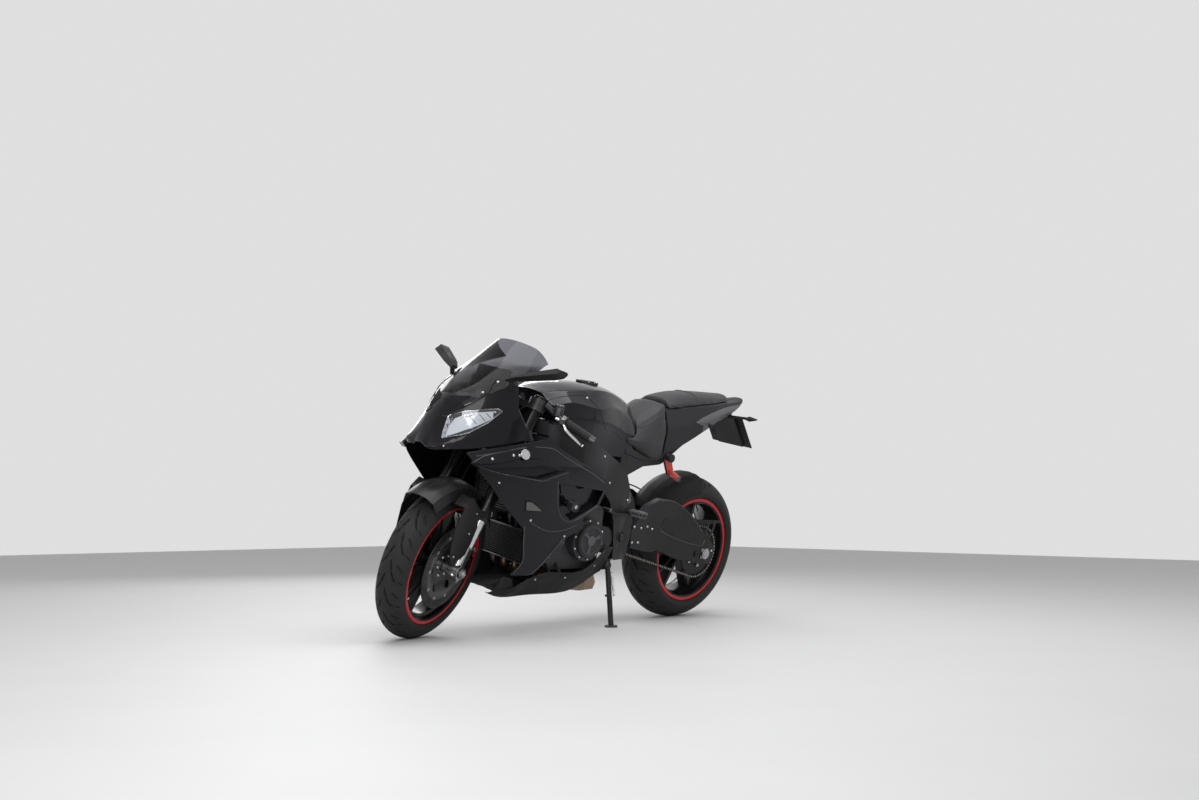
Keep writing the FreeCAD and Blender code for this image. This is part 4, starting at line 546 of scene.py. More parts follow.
def lay_groove_shade(end, radius, width, drop, repeats, axle, shade_strokes):
    """Long narrow dark sheets laid just above the tread between its cut grooves: painted shade standing in
    for the shade inside deep grooves.
    """
    half = width / 2
    cy = radius - (drop ** 2 + half ** 2) / (2 * drop)
    parts = []
    for k in range(repeats):
        for along, across, length, turn, size in shade_strokes:
            for side in (1, -1):
                shift = 0.5 if side < 0 else 0.0
                verts = []
                for i in range(9):
                    t = i / 8 * 2 - 1
                    wide = size * math.sqrt(max(0.0, 1 - t ** 4))
                    for edge in (-1, 1):
                        u = along + t * length / 2 * math.cos(turn) - edge * wide * math.sin(turn)
                        v = across + t * length / 2 * math.sin(turn) + edge * wide * math.cos(turn)
                        bend = side * v / (radius - cy)
                        r = cy + (radius - cy + SHADE_LIFT) * math.cos(bend)
                        y = (radius - cy + SHADE_LIFT) * math.sin(bend)
                        angle = 2 * math.pi * (k + shift) / repeats + u / radius
                        verts.append((r * math.sin(angle), y, r * math.cos(angle)))
                parts.append((verts, [(a, a + 1, a + 3, a + 2) for a in range(0, 16, 2)]))
    make(end + "_groove_shade", parts, "dark_joint_and_painted_shade", end + "_wheel", axle)


# End, radius, width, drop from crown to shoulder, and repeats of the tread
FRONT_TYRE, REAR_TYRE = ("front", 300, 120, 52, 18), ("rear", 320, 190, 65, 16)
FRONT_RIM_HALF, REAR_RIM_HALF = 50, 81
tyre(*FRONT_TYRE, FRONT_RIM_HALF, FRONT_AXLE,
     [((10, 4), (62, 22), 2.6, 3.6), ((62, 22), (84, 44), 2.3, 3.2), ((18, 30), (48, 52), 2.2, 3.0)])
tyre(*REAR_TYRE, REAR_RIM_HALF, REAR_AXLE,
     [((8, 8), (70, 34), 3.0, 4.2), ((70, 34), (104, 66), 2.8, 3.8), ((20, 46), (62, 84), 2.6, 3.6),
      ((84, 14), (122, 26), 2.2, 3.2)])
# Painted shade along the tread grooves of both tyres.
lay_groove_shade(*FRONT_TYRE, FRONT_AXLE, ((20, 10, 40, 0.35, 3.0), (62, 26, 44, 0.5, 3.2),
                                      (30, 46, 40, 0.75, 3.0),
                                      (84, 58, 26, 0.95, 2.4)))
lay_groove_shade(*REAR_TYRE, REAR_AXLE, ((20, 12, 46, 0.35, 3.4), (72, 34, 56, 0.5, 3.6), (32, 60, 50, 0.7, 3.4),
                                    (96, 82, 44, 0.9, 3.0)))


def holed_ring(inner, outer, middle, rows, columns, size):
    """Flat drilled ring, made of cells of which every third holds a round hole."""
    low, high = middle - 2.5, middle + 2.5
    verts, faces = [], []
    index = {}

    def at(r, a, y):
        key = (round(r, 3), round(a % (2 * math.pi), 5), round(y, 3))
        if key not in index:
            index[key] = len(verts)
            verts.append((r * math.cos(a), y, r * math.sin(a)))
        return index[key]

    step_r, step_a = (outer - inner) / rows, 2 * math.pi / columns
    for row in range(rows):
        for column in range(columns):
            r0, a0 = inner + row * step_r, column * step_a
            rc, ac = r0 + step_r / 2, a0 + step_a / 2
            rim = [(r0, a0), (r0, ac), (r0, a0 + step_a), (rc, a0 + step_a), (r0 + step_r, a0 + step_a),
                   (r0 + step_r, ac), (r0 + step_r, a0), (rc, a0)]
            if (column + 2 * row) % 3:
                faces.append(tuple(at(r, a, high) for r, a in rim))
                faces.append(tuple(at(r, a, low) for r, a in rim[::-1]))
                continue
            hole = []
            for r, a in rim:
                dx, dy = r * math.cos(a) - rc * math.cos(ac), r * math.sin(a) - rc * math.sin(ac)
                far = math.hypot(dx, dy)
                px, py = rc * math.cos(ac) + dx / far * size, rc * math.sin(ac) + dy / far * size
                hole.append((math.hypot(px, py), math.atan2(py, px)))
            for i in range(8):
                j = (i + 1) % 8
                faces.append((at(*rim[i], high), at(*rim[j], high), at(*hole[j], high), at(*hole[i], high)))
                faces.append((at(*rim[j], low), at(*rim[i], low), at(*hole[i], low), at(*hole[j], low)))
                faces.append((at(*hole[i], high), at(*hole[j], high), at(*hole[j], low), at(*hole[i], low)))
    for radius, flip in ((inner, False), (outer, True)):
        for half_column in range(columns * 2):
            a, b = half_column * step_a / 2, (half_column + 1) * step_a / 2
            face = (at(radius, a, low), at(radius, a, high), at(radius, b, high), at(radius, b, low))
            faces.append(face[::-1] if flip else face)
    return verts, faces


def flipped(part):
    verts, faces = part
    return [(v[0], -v[1], v[2]) for v in verts], [f[::-1] for f in faces]


def rim_details(end, axle, rim_half):
    """Red rim rings, valve and balance weight."""
    outline = ((0.2, 218), (0.9, 219), (0.9, 229), (0.2, 230), (-1.5, 229.5), (-1.5, 218.5))
    red = [turned([(side * (rim_half + out), r) for out, r in outline], (0, 0, 0), LEFT, 160, True)
           for side in (1, -1)]
    make(end + "_rim_rings", red, "ring_red", end + "_wheel", axle)
    arcs = [(232, 0.5 + k * 0.02) for k in range(8)] + [(225, 0.64 - k * 0.02) for k in range(8)]
    weight = prism([(r * math.cos(a) * 0.86, r * math.sin(a) * 0.86) for r, a in arcs], -9, 9)
    a = 1.9
    valve = turned([(0, 3.2), (20, 3.2), (21, 4.2), (32, 4.2), (33, 3)],
                   (198 * math.cos(a), 14, 198 * math.sin(a)), (-math.cos(a), 0.9, -math.sin(a)), 12)
    make(end + "_rim_bits", [weight, valve], "zinc", end + "_wheel", axle)


def disc_details(inner, outer, middle, hub_end, hub):
    """A drilled ring, and the buttons and screws that hold it."""
    bolts = [turned([(-3.6, 5.4), (-3.6, 6.6), (3.5, 6.6), (3.5, 4.6), (3.8, 3.2)],
                    ((inner - 2) * math.cos(a), middle, (inner - 2) * math.sin(a)), LEFT, 14)
             for a in around(10)]
    bolts += [dome((hub * math.cos(a), hub_end, hub * math.sin(a)), LEFT, 6.5, 4) for a in around(6)]
    return holed_ring(inner, outer, middle, 4, 72, 2.5), bolts


rim_details("front", FRONT_AXLE, FRONT_RIM_HALF)
ring, bolts = disc_details(124, 159.6, 66, 50.2, 40)
make("front_disc_rings", [ring, flipped(ring)], "disc_steel", "front_wheel", FRONT_AXLE,
     own_frame=True)
make("front_disc_bolts", bolts + [flipped(b) for b in bolts], "zinc", "front_wheel", FRONT_AXLE)
rim_details("rear", REAR_AXLE, REAR_RIM_HALF)
ring, bolts = disc_details(74, 109.6, 90, 92.2, 44)
make("rear_disc_ring", [flipped(ring)], "disc_steel", "rear_wheel", REAR_AXLE, own_frame=True)
make("rear_disc_bolts", [flipped(b) for b in bolts], "zinc", "rear_wheel", REAR_AXLE)


# Chain and sprocket

CHAIN_PLANE, LINKS = 109, 116
SMALL, LARGE = 43.2, 113.8


def chain_line(count, small, large):
    """Roller centres round both sprockets, evenly spaced."""
    fx, fz, rx, rz = 640, 408, 0, 320
    gap = math.hypot(fx - rx, fz - rz)
    slope = math.atan2(fz - rz, fx - rx)
    tilt = math.asin((large - small) / gap)
    top, low = slope + math.pi / 2 - tilt, slope - math.pi / 2 + tilt
    runs = []
    straight = math.sqrt(gap ** 2 - (large - small) ** 2)
    runs.append(("line", (rx + large * math.cos(top), rz + large * math.sin(top)),
                 (fx + small * math.cos(top), fz + small * math.sin(top)), straight))
    runs.append(("arc", (fx, fz), small, top, low, small * (top - low)))
    runs.append(("line", (fx + small * math.cos(low), fz + small * math.sin(low)),
                 (rx + large * math.cos(low), rz + large * math.sin(low)), straight))
    runs.append(("arc", (rx, rz), large, low, top - 2 * math.pi, large * (low - top + 2 * math.pi)))
    total = sum(run[-1] for run in runs)
    points = []
    for i in range(count):
        at = total * i / count
        for run in runs:
            if at <= run[-1]:
                break
            at -= run[-1]
        if run[0] == "line":
            t = at / run[-1]
            points.append((run[1][0] * (1 - t) + run[2][0] * t, run[1][1] * (1 - t) + run[2][1] * t))
        else:
            a = run[3] - at / run[2]
            points.append((run[1][0] + run[2] * math.cos(a), run[1][1] + run[2] * math.sin(a)))
    return points


def link_plate(a, b, low, high):
    """Waisted plate round two pins."""
    turn = math.atan2(b[1] - a[1], b[0] - a[0])
    middle = ((a[0] + b[0]) / 2, (a[1] + b[1]) / 2)
    outline = []
    for (x, z), first in ((a, turn + math.pi / 2), (b, turn - math.pi / 2)):
        outline += [(x + 6.4 * math.cos(first + math.pi * k / 4), z + 6.4 * math.sin(first + math.pi * k / 4))
                    for k in range(5)]
        outline.append((middle[0] - 4.4 * math.cos(first), middle[1] - 4.4 * math.sin(first)))
    return prism(outline, low, high)


def chain():
    line = chain_line(LINKS, SMALL, LARGE)
    plates, pins = [], []
    for i, here in enumerate(line):
        for side in (1, -1):
            low = CHAIN_PLANE + side * (6.4 if i % 2 else 4.2)
            plates.append(link_plate(here, line[(i + 1) % LINKS], *sorted((low, low + side * 1.9))))
        centre = (here[0], CHAIN_PLANE, here[1])
        pins.append(turned([(-8.9, 2.2), (-8.6, 2.7), (8.6, 2.7), (8.9, 2.2)], centre, LEFT, 8))
        pins.append(turned([(-4, 4.6), (4, 4.6)], centre, LEFT, 10))
    make("chain_links", plates, "brass_chain", replaced=("chain",))
    make("chain_pins", pins, "steel")
    nuts = [turned([(0, 8), (5, 7.6), (5, 4), (8, 4), (8.4, 3)], (64 * math.cos(a), 112, 64 * math.sin(a)),
                   LEFT, 6) for a in around(6, 0.3)]
    make("sprocket_nuts", nuts, "zinc", "rear_wheel", REAR_AXLE)


chain()


# Soft seats

PUFF, COVER_FRAMES = 3.0, 12


def soft_seat(node, voxel, cap):
    """Padded copy of a seat's solid: remeshed, blown up a little as cloth, and smoothed."""
    source = nodes[node]
    obj = in_scene(node + "_cover", source.data.copy())
    wear_material(obj, "seat_cover")
    remesh = obj.modifiers.new("even", "REMESH")
    remesh.mode = "VOXEL"
    remesh.voxel_size = voxel * MM
    baked = baked_mesh(obj)
    smooth_mesh(baked, 6, 0.5)
    rest = [v.co.copy() for v in baked.vertices]
    shrink = [v.co - v.normal * cap * 0.4 * MM for v in baked.vertices]
    for v, co in zip(baked.vertices, shrink):
        v.co = co
    cloth = obj.modifiers.new("cover", "CLOTH").settings
    cloth.use_pressure = True
    cloth.uniform_pressure_force = PUFF
    cloth.effector_weights.gravity = 0.0
    cloth.tension_stiffness = cloth.compression_stiffness = 40
    scene = bpy.context.scene
    for step in range(1, COVER_FRAMES + 1):
        scene.frame_set(step)
    deps = bpy.context.evaluated_depsgraph_get()
    blown = [v.co.copy() for v in obj.evaluated_get(deps).data.vertices]
    obj.modifiers.clear()
    scene.frame_set(1)
    for v, base, co in zip(obj.data.vertices, rest, blown):
        move = co - base
        if move.length > cap * MM:
            move = move.normalized() * cap * MM
        v.co = base + move
    smooth_mesh(obj.data, 2, 0.5)
    for face in obj.data.polygons:
        face.use_smooth = True
    sub = obj.modifiers.new("fine", "SUBSURF")
    sub.levels = sub.render_levels = 1
    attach(obj, "chassis")
    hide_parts(node)
    return obj


def baked_mesh(obj):
    """The object's evaluated mesh, put in place of its own and returned."""
    deps = bpy.context.evaluated_depsgraph_get()
    mesh = bpy.data.meshes.new_from_object(obj.evaluated_get(deps))
    obj.modifiers.clear()
    obj.data = mesh
    return mesh


def smooth_mesh(mesh, rounds, factor):
    bm = bmesh.new()
    bm.from_mesh(mesh)
    for _ in range(rounds):
        bmesh.ops.smooth_vert(bm, verts=bm.verts, factor=factor, use_axis_x=True, use_axis_y=True,
                              use_axis_z=True)
    bm.to_mesh(mesh)
    bm.free()
    mesh.update()


rider_cover = soft_seat("rider_seat", 5.0, 4.0)
pillion_cover = soft_seat("pillion_seat", 4.0, 5.0)


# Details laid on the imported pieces

TREES = {}
FAR = {"y": 700, "z": 1400, "x": 1900}


def tree_of(names):
    """Search tree over pieces, in the drawing's millimetres. The names are parted by blanks."""
    if names not in TREES:
        back = (STEERED if names == "front_mudguard" else LEAN).inverted()
        verts, faces = [], []
        for name in names.split():
            to_drawing = back @ nodes[name].matrix_world
            start = len(verts)
            verts += [(to_drawing @ v.co) / MM for v in nodes[name].data.vertices]
            faces += [tuple(i + start for i in p.vertices) for p in nodes[name].data.polygons]
        TREES[names] = BVHTree.FromPolygons(verts, faces)
    return TREES[names]


def landing(names, a, b, side=1, axis="y"):
    """Where a ray straight along an axis meets pieces, and the surface's direction there."""
    push = Vector(spot(axis, 0, 0, -side))
    where, normal, _, _ = tree_of(names).ray_cast(Vector(spot(axis, a, b, FAR[axis] * side)), push)
    if where is None:
        return None, None
    return where, (normal if normal.dot(push) < 0 else -normal)


def strip(names, points, radius, side=1, axis="y", rise=0.0, per=6, closed=False):
    """A smooth drawn line dropped on pieces, lifted off them a little and made round."""
    flat = [Vector((a, b, 0)) for a, b in points]
    line = []
    for p in spline(flat, per, closed) if per else flat:
        where, normal = landing(names, p.x, p.y, side, axis)
        if where is not None:
            line.append(where + normal * rise)
    return tube(line, radius, 8, closed, 0) if len(line) > 1 else ([], [])


def inside(p, rim):
    odd = False
    for a, b in zip(rim, rim[1:] + rim[:1]):
        if (a.y > p.y) != (b.y > p.y) and p.x < (b.x - a.x) * (p.y - a.y) / (b.y - a.y) + a.x:
            odd = not odd
    return odd


def patch(names, outline, low, high, side=1, axis="y", grid=11.0):
    """Thin solid that follows pieces inside a drawn outline, between two distances off them."""
    flat = [Vector((a, b, 0)) for a, b in outline]
    rim = []
    for i, p in enumerate(flat):
        q = flat[(i + 1) % len(flat)]
        count = max(1, round((q - p).length / grid))
        rim += [(p.lerp(q, k / count)).to_2d() for k in range(count)]
    low_a, high_a = min(p.x for p in rim), max(p.x for p in rim)
    low_b, high_b = min(p.y for p in rim), max(p.y for p in rim)
    spots = []
    for i in range(1, int((high_a - low_a) / grid) + 1):
        for j in range(1, int((high_b - low_b) / grid) + 1):
            p = Vector((low_a + i * grid, low_b + (j + 0.5 * (i % 2)) * grid))
            if inside(p, rim) and min((p - q).length for q in rim) > grid * 0.45:
                spots.append(p)
    edges = [(i, (i + 1) % len(rim)) for i in range(len(rim))]
    flat_verts, _, flat_faces, *_ = delaunay_2d_cdt(rim + spots, edges, [], 1, 0.01)
    places, index = [], {}
    for i, p in enumerate(flat_verts):
        where, _ = landing(names, p.x, p.y, side, axis)
        if where is not None:
            index[i] = len(places)
            places.append(where)
    outward = Vector(spot(axis, 0, 0, side))
    normals = [Vector() for _ in places]
    turned_out = []
    for f in flat_faces:
        if not all(i in index for i in f):
            continue
        f = tuple(index[i] for i in f)
        normal = (places[f[1]] - places[f[0]]).cross(places[f[2]] - places[f[0]])
        if normal.dot(outward) < 0:
            f, normal = f[::-1], -normal
        turned_out.append(f)
        for i in f:
            normals[i] += normal
    normals = [n.normalized() if n.length else outward for n in normals]
    count = len(places)
    verts = [p + n * off for off in (low, high) for p, n in zip(places, normals)]
    faces = [f[::-1] for f in turned_out] + [tuple(i + count for i in f) for f in turned_out]
    borders = [edge for f in turned_out for edge in zip(f, f[1:] + f[:1])]
    used = set(borders)
    faces += [(i, j, j + count, i + count) for i, j in dict.fromkeys(borders) if (j, i) not in used]
    return verts, faces


def screws(names, spots, size, head, side=1, axis="y", kind=dome):
    """Screws whose heads sit on the pieces' surface."""
    landed = [landing(names, a, b, side, axis) for a, b in spots]
    return [kind(where - normal * 0.3, normal, size, head) for where, normal in landed if where is not None]


def both(draw):
    """A drawing made for the left side and again for the right."""
    return [part for side in (1, -1) for part in draw(side)]


def sided(names, side):
    return names.replace("*", "left" if side > 0 else "right")


def line_pair(name, mat, names, lines, radius, rise, per=6):
    """One object of lines laid on both flanks."""
    make(name, both(lambda side: [strip(sided(names, side), line, radius, side, rise=rise, per=per)
                                  for line in lines]), mat)


def patch_pair(name, mat, names, outline, low, high, grid, bevel=0.0):
    """One object of a patch on each flank."""
    make(name, both(lambda side: [patch(sided(names, side), outline, low, high, side, grid=grid)]), mat,
         bevel=bevel)


def screw_pair(name, names, spots, size, head, kind=dome):
    """One object of screws on both flanks."""
    make(name, both(lambda side: screws(sided(names, side), spots, size, head, side, kind=kind)), "zinc")


def front_pair(points, draw):
    """Something drawn from the front in (y, z), on both sides of the middle."""
    return [draw([(side * y, z) for y, z in points]) for side in (1, -1)]


def dress_nose():
    cowl, lens = "nose_fairing windscreen", "headlamp_units"
    duct = [(14, 902), (26, 917), (46, 919), (92, 930), (88, 917), (78, 902), (66, 882), (48, 862), (30, 870)]
    # Painted shade: flat dark patches on the nose and screen where the duct openings lie in shade.
    make("nose_duct_shade", front_pair(duct, lambda p: patch(cowl, p, 0.3, 1.2, axis="x")), "dark_joint_and_painted_shade")
    lip = [(24, 868), (30, 856), (42, 848), (55, 850), (75, 869), (92, 886), (104, 901), (115, 917),
           (127, 938), (128, 953), (118, 976), (114, 994)]
    make("screen_seal", front_pair(lip, lambda p: strip(cowl, p, 1.9, axis="x", rise=0.4)), "dark_joint_and_painted_shade")
    # Painted highlight along the duct lips.
    rim = [(y + 3.4, z - 2.6) for y, z in lip[2:9]]
    make("duct_lip_highlights", front_pair(rim, lambda p: strip(cowl, p, 1.5, axis="x", rise=0.2)), "painted_edge_highlight")
    make("screen_screws", front_pair([(112, 948), (121, 992)],
                                     lambda p: join(screws(cowl, p, 5.5, 3, axis="x"))), "zinc")
    make("nose_screws", front_pair([(103, 744)], lambda p: join(screws(cowl, p, 3.6, 2, axis="x"))) +
         both(lambda side: screws("nose_fairing", [(1150, 818)], 4.2, 2.4, side)), "zinc")
    whole = [(1530, 768), (1495, 849), (1452, 873), (1401, 888), (1354, 896), (1338, 892), (1388, 846),
             (1452, 802)]
    inner = [(1514, 777), (1499, 812), (1480, 842), (1452, 862), (1415, 875), (1380, 884), (1349, 890),
             (1340, 886), (1364, 866), (1394, 846), (1424, 828), (1458, 810), (1488, 792)]
    make("lamp_bezel", [patch(lens, whole, 0.06, 0.16)], "lens_dark")
    make("lamp_glow", [patch(lens, inner, 0.2, 0.32)], "lamp_pale")
    marks = [[(1440, 858), (1424, 835)], [(1412, 870), (1396, 848)], [(1392, 878), (1378, 862)],
             [(1424, 868), (1452, 852)], [(1368, 884), (1360, 872)]]
    make("lamp_ribs", [strip(lens, line, 1.4, rise=0.4, per=0) for line in marks], "radiator_black")
    rib = [(1500, 806), (1482, 836), (1454, 856), (1416, 869), (1376, 880)]
    make("lamp_strip", [strip(lens, rib, 1.2, rise=0.4)], "lamp_pale")
    lamp_y, lamp_z = -92, 842
    face, ring = ([(lamp_y + radius * math.cos(a), lamp_z + radius * math.sin(a)) for a in around(24)]
                  for radius in (39, 33))
    make("round_lamp_face", [patch(lens, face, 0.06, 0.16, axis="x")], "lens_dark")
    make("round_lamp_ring", [strip(lens, ring, 1.9, axis="x", rise=0.3, per=2, closed=True)], "lamp_pale")
    eye, out = landing(lens, lamp_y, lamp_z, axis="x")
    make("round_lamp_eye", [turned([(0, 22), (0.3, 22), (0.45, 12), (0.45, 0)], eye, out, 24)], "lens_dark")
    # Painted highlight along the cowl's edge.
    line_pair("cowl_edge_highlights", "painted_edge_highlight", "nose_fairing",
              [[(1284, 905), (1268, 866), (1238, 838), (1190, 824), (1142, 814)]], 1.7, 0.2)
    panel = [(-78, 938), (78, 938), (84, 1002), (-84, 1002)]
    make("instrument_face", [patch("instrument_panel", panel, 0.2, 1.6, -1, "x")], "lens_dark")
    glass_line = [(226, 1020), (300, 1036), (330, 1046), (336, 1057), (326, 1064), (300, 1059), (228, 1035)]
    make("mirror_glasses", front_pair(glass_line, lambda p: patch("mirrors", p, 0.2, 2.0, -1, "x", 5)),
         "mirror_silver")


def dress_flanks():
    fins, shell = "side_fins", "side_fairing_*"
    # Painted highlight along the fins' lips.
    line_pair("fin_lip_highlights", "painted_edge_highlight", fins,
              [[(1447, 693), (1374, 677), (1279, 667), (1170, 657), (1148, 670), (1066, 692)],
               [(1475, 702), (1410, 737), (1322, 760), (1232, 776)]], 1.5, 0.1)
    screw_pair("fin_screws", fins, [(1396, 724), (1311, 742), (1286, 744)], 5.5, 3)
    badge = [(0, 19), (2.4, 19), (3, 18.2), (3, 15.8), (2.2, 15.4), (2.2, 0)]
    make("blank_roundels", both(lambda side: [turned(badge, *landing(fins, 1262, 748, side), 36)]), "zinc")
    patch_pair("indicator_rims", "dark_joint_and_painted_shade", shell,
               [(1221, 578), (1213, 537), (1124, 535), (1168, 562), (1196, 576)], 0.2, 1.8, 8)
    patch_pair("indicator_lenses", "indicator", shell,
               [(1217, 573), (1210, 541), (1134, 538), (1170, 560), (1195, 572)], 1.8, 4.6, 7)
    screw_pair("fairing_screws", shell, [(1173, 500), (983, 436), (1356, 640)], 5, 2.6)
    # Painted highlight along the fairing's creases.
    highlight_lines = (([(983, 432), (1010, 396), (1048, 348), (1080, 312), (1104, 286)], 2.6, 0.3),
               ([(1172, 494), (1128, 474), (1086, 460), (1040, 457), (990, 463), (930, 480)], 1.6, -0.5),
               ([(1196, 478), (1178, 400), (1162, 345), (1186, 292)], 1.8, 0.0))
    make("fairing_crease_highlights", both(lambda side: [strip(sided(shell, side), line, size, side, rise=rise)
                                               for line, size, rise in highlight_lines]), "painted_edge_highlight")
    patch_pair("fairing_steps", "moulded_black", shell,
               [(1100, 290), (1076, 322), (1042, 364), (1004, 410), (976, 425), (976, 408), (1030, 345),
                (1080, 290)], 0.2, 2.2, 9)
    patch_pair("recess_ridges", "gloss_black", shell, [(1044, 636), (900, 628), (1030, 600)], 0.0, 4.0, 9)
    # Painted highlight along the recess rims.
    line_pair("recess_lip_highlights", "painted_edge_highlight", shell, [[(1086, 657), (1049, 543), (971, 494), (826, 555)]],
              1.5, 0.1, 4)
    # Painted highlight along the fairing shoulders.
    line_pair("shoulder_highlights", "painted_edge_highlight", shell,
              [[(1206, 776), (1120, 772), (1050, 742), (960, 708), (880, 680), (800, 645)]], 1.8, -0.2)
    screw_pair("pad_caps", "main_frame", [(985, 559)], 7.5, 3, bolt)
    screw_pair("belly_screws", "belly_pan", [(1066, 262), (905, 262), (735, 300)], 4.4, 2.4)
    rows = []
    for low, high, foot, slope, half, pitch in ((308, 428, 1063, 0.108, 108, 8.0),
                                                (488, 688, 1097, 0.079, 148, 9.0)):
        for k in range(int((high - low) / pitch)):
            z = low + pitch * (k + 0.5)
            x = foot + slope * (z - low)
            rows.append(prism([(x - 3, z - 1.4), (x + 3.6, z - 1.0), (x + 3.6, z + 1.0), (x - 3, z + 1.4)],
                              -half, half))
    make("radiator_fins", rows, "alloy_dark")
    make("radiator_rails", [tube([(x, -112, z), (x, 112, z)], 3.4, 10, smooth=0)
                            for x, z in ((1079, 431), (1068, 302))], "steel")


def dress_engine():
    left, right = Vector((803, 0, 408)), Vector((770, 0, 400))
    bolts = [dome(left + Vector((77 * math.cos(a), 199.8, 77 * math.sin(a))), LEFT, 5, 4)
             for a in around(10, 0.2)]
    bolts += [dome(right + Vector((86 * math.cos(a), -203.8, 86 * math.sin(a))), RIGHT, 5, 4)
              for a in around(12)]
    make("cover_bolts", bolts, "zinc")
    face = 212.8
    parts = [turned([(0, 48), (3.2, 49), (4.2, 51), (4.2, 57), (3.2, 59), (0, 60)], left + LEFT * face, LEFT,
                    48, True)]
    for a in around(3, 0.6):
        turn = Vector((math.cos(a), math.sin(a), 0))
        cross = Vector((-turn.y, turn.x, 0))
        outline = [turn * out + cross * aside for out, aside in ((20, 7), (50, 13), (50, -5), (20, -3))]
        parts.append(prism([(left.x + p.x, left.z + p.y) for p in outline], face, face + 3.6))
    parts.append(turned([(0, 22), (3.4, 21.4), (4.6, 19), (4.6, 0)], left + LEFT * face, LEFT, 32))
    parts.append(turned([(0, 50), (3.2, 51), (4, 53), (4, 58), (3, 60), (0, 61)], right + RIGHT * 213.8,
                        RIGHT,
                        48, True))
    parts.append(prism([(870, 470), (908, 500), (898, 512), (856, 486)], 162, 176))
    make("cover_ribs", parts, "cast_engine", bevel=0.6)
    screw_pair("frame_screws", "main_frame", [(771, 741), (748, 646), (711, 634), (676, 530), (645, 470),
                                              (596, 768), (590, 690)], 5, 3)
    hoses = [[Vector(p) for p in line] for line in (
        [(1088, 140, 668), (1040, 150, 676), (980, 132, 650), (940, 112, 610)],
        [(1088, -140, 668), (1040, -150, 676), (980, -132, 650), (940, -112, 610)],
        [(1050, 118, 320), (1020, 140, 360), (985, 150, 420)])]
    make("hoses", [tube(line, 13, 14) for line in hoses], "grip_rubber")
    make("hose_clips", [turned([(-5, 13.6), (-5, 14.6), (5, 14.6), (5, 13.6)], line[0], line[1] - line[0], 20,
                               True) for line in hoses], "zinc")


def up_leg(s, y=0.0):
    """Place at a height along a fork leg."""
    return Vector((1422.5 - 0.4067 * s, y, 299.6 + 0.9135 * s))


def dress_fork():
    along = (up_leg(100) - up_leg(0)).normalized()
    feet, seals, bits, caps = [], [], [], []
    for side in (103, -103):
        feet.append(turned([(-21, 20), (-21, 27.5), (93, 27.5), (97, 24), (97, 21.7)], up_leg(0, side), along,
                           32))
        seals.append(turned([(0, 21.7), (0, 26), (4, 27.6), (15, 28), (17, 26)], up_leg(205, side), along,
                            32))
        bits.append(turned([(0, 13), (2, 13), (3, 11), (3, 6), (1.2, 5.6), (1.2, 0)],
                           FRONT_AXLE + Vector((0, side * 1.369, 0)), (0, side, 0), 6))
        caps.append(turned([(0, 23), (3, 23), (5, 20), (5, 12), (3, 11), (3, 6), (9, 6), (9.6, 5), (9.6, 0)],
                           up_leg(720, side), along, 32))
    make("fork_feet", feet, "fork_black", "steering")
    make("fork_seals", seals, "grip_rubber", "steering")
    make("fork_caps", caps, "black_steel", "steering")
    stem = Vector((1154 - 0.4067 * 110, 0, 826 + 0.9135 * 110))
    bits.append(turned([(0, 17), (6, 17), (7, 15), (7, 9), (3, 8.6), (3, 0)], stem, along, 6))
    for side in (1, -1):
        for a in (math.radians(137), math.radians(157)):
            piston = FRONT_AXLE + Vector((143 * math.cos(a), side * 88.4, 143 * math.sin(a)))
            bits.append(turned([(0, 12), (1.2, 12), (1.8, 11), (1.8, 6), (0.9, 5.5), (0.9, 0)], piston,
                               (0, side, 0), 24))
        bits += screws("front_mudguard", [(1430, 452), (1412, 528), (1500, 372)], 4, 2.2, side)
    make("fork_bits", bits, "zinc", "steering")
    hose = [(1300, 80, 392), (1282, 66, 440), (1268, 64, 520), (1236, 62, 620), (1200, 50, 700),
            (1176, 36, 790), (1150, 60, 880), (1128, 150, 925), (1136, 200, 915)]
    lines = [tube([(x, side * y, z) for x, y, z in hose], 3.2, 8) for side in (1, -1)]
    lines.append(tube([(1124, 176, 914), (1150, 120, 940), (1178, 60, 905), (1170, 24, 840)], 2.6, 8))
    make("brake_hoses", lines, "grip_rubber", "steering")


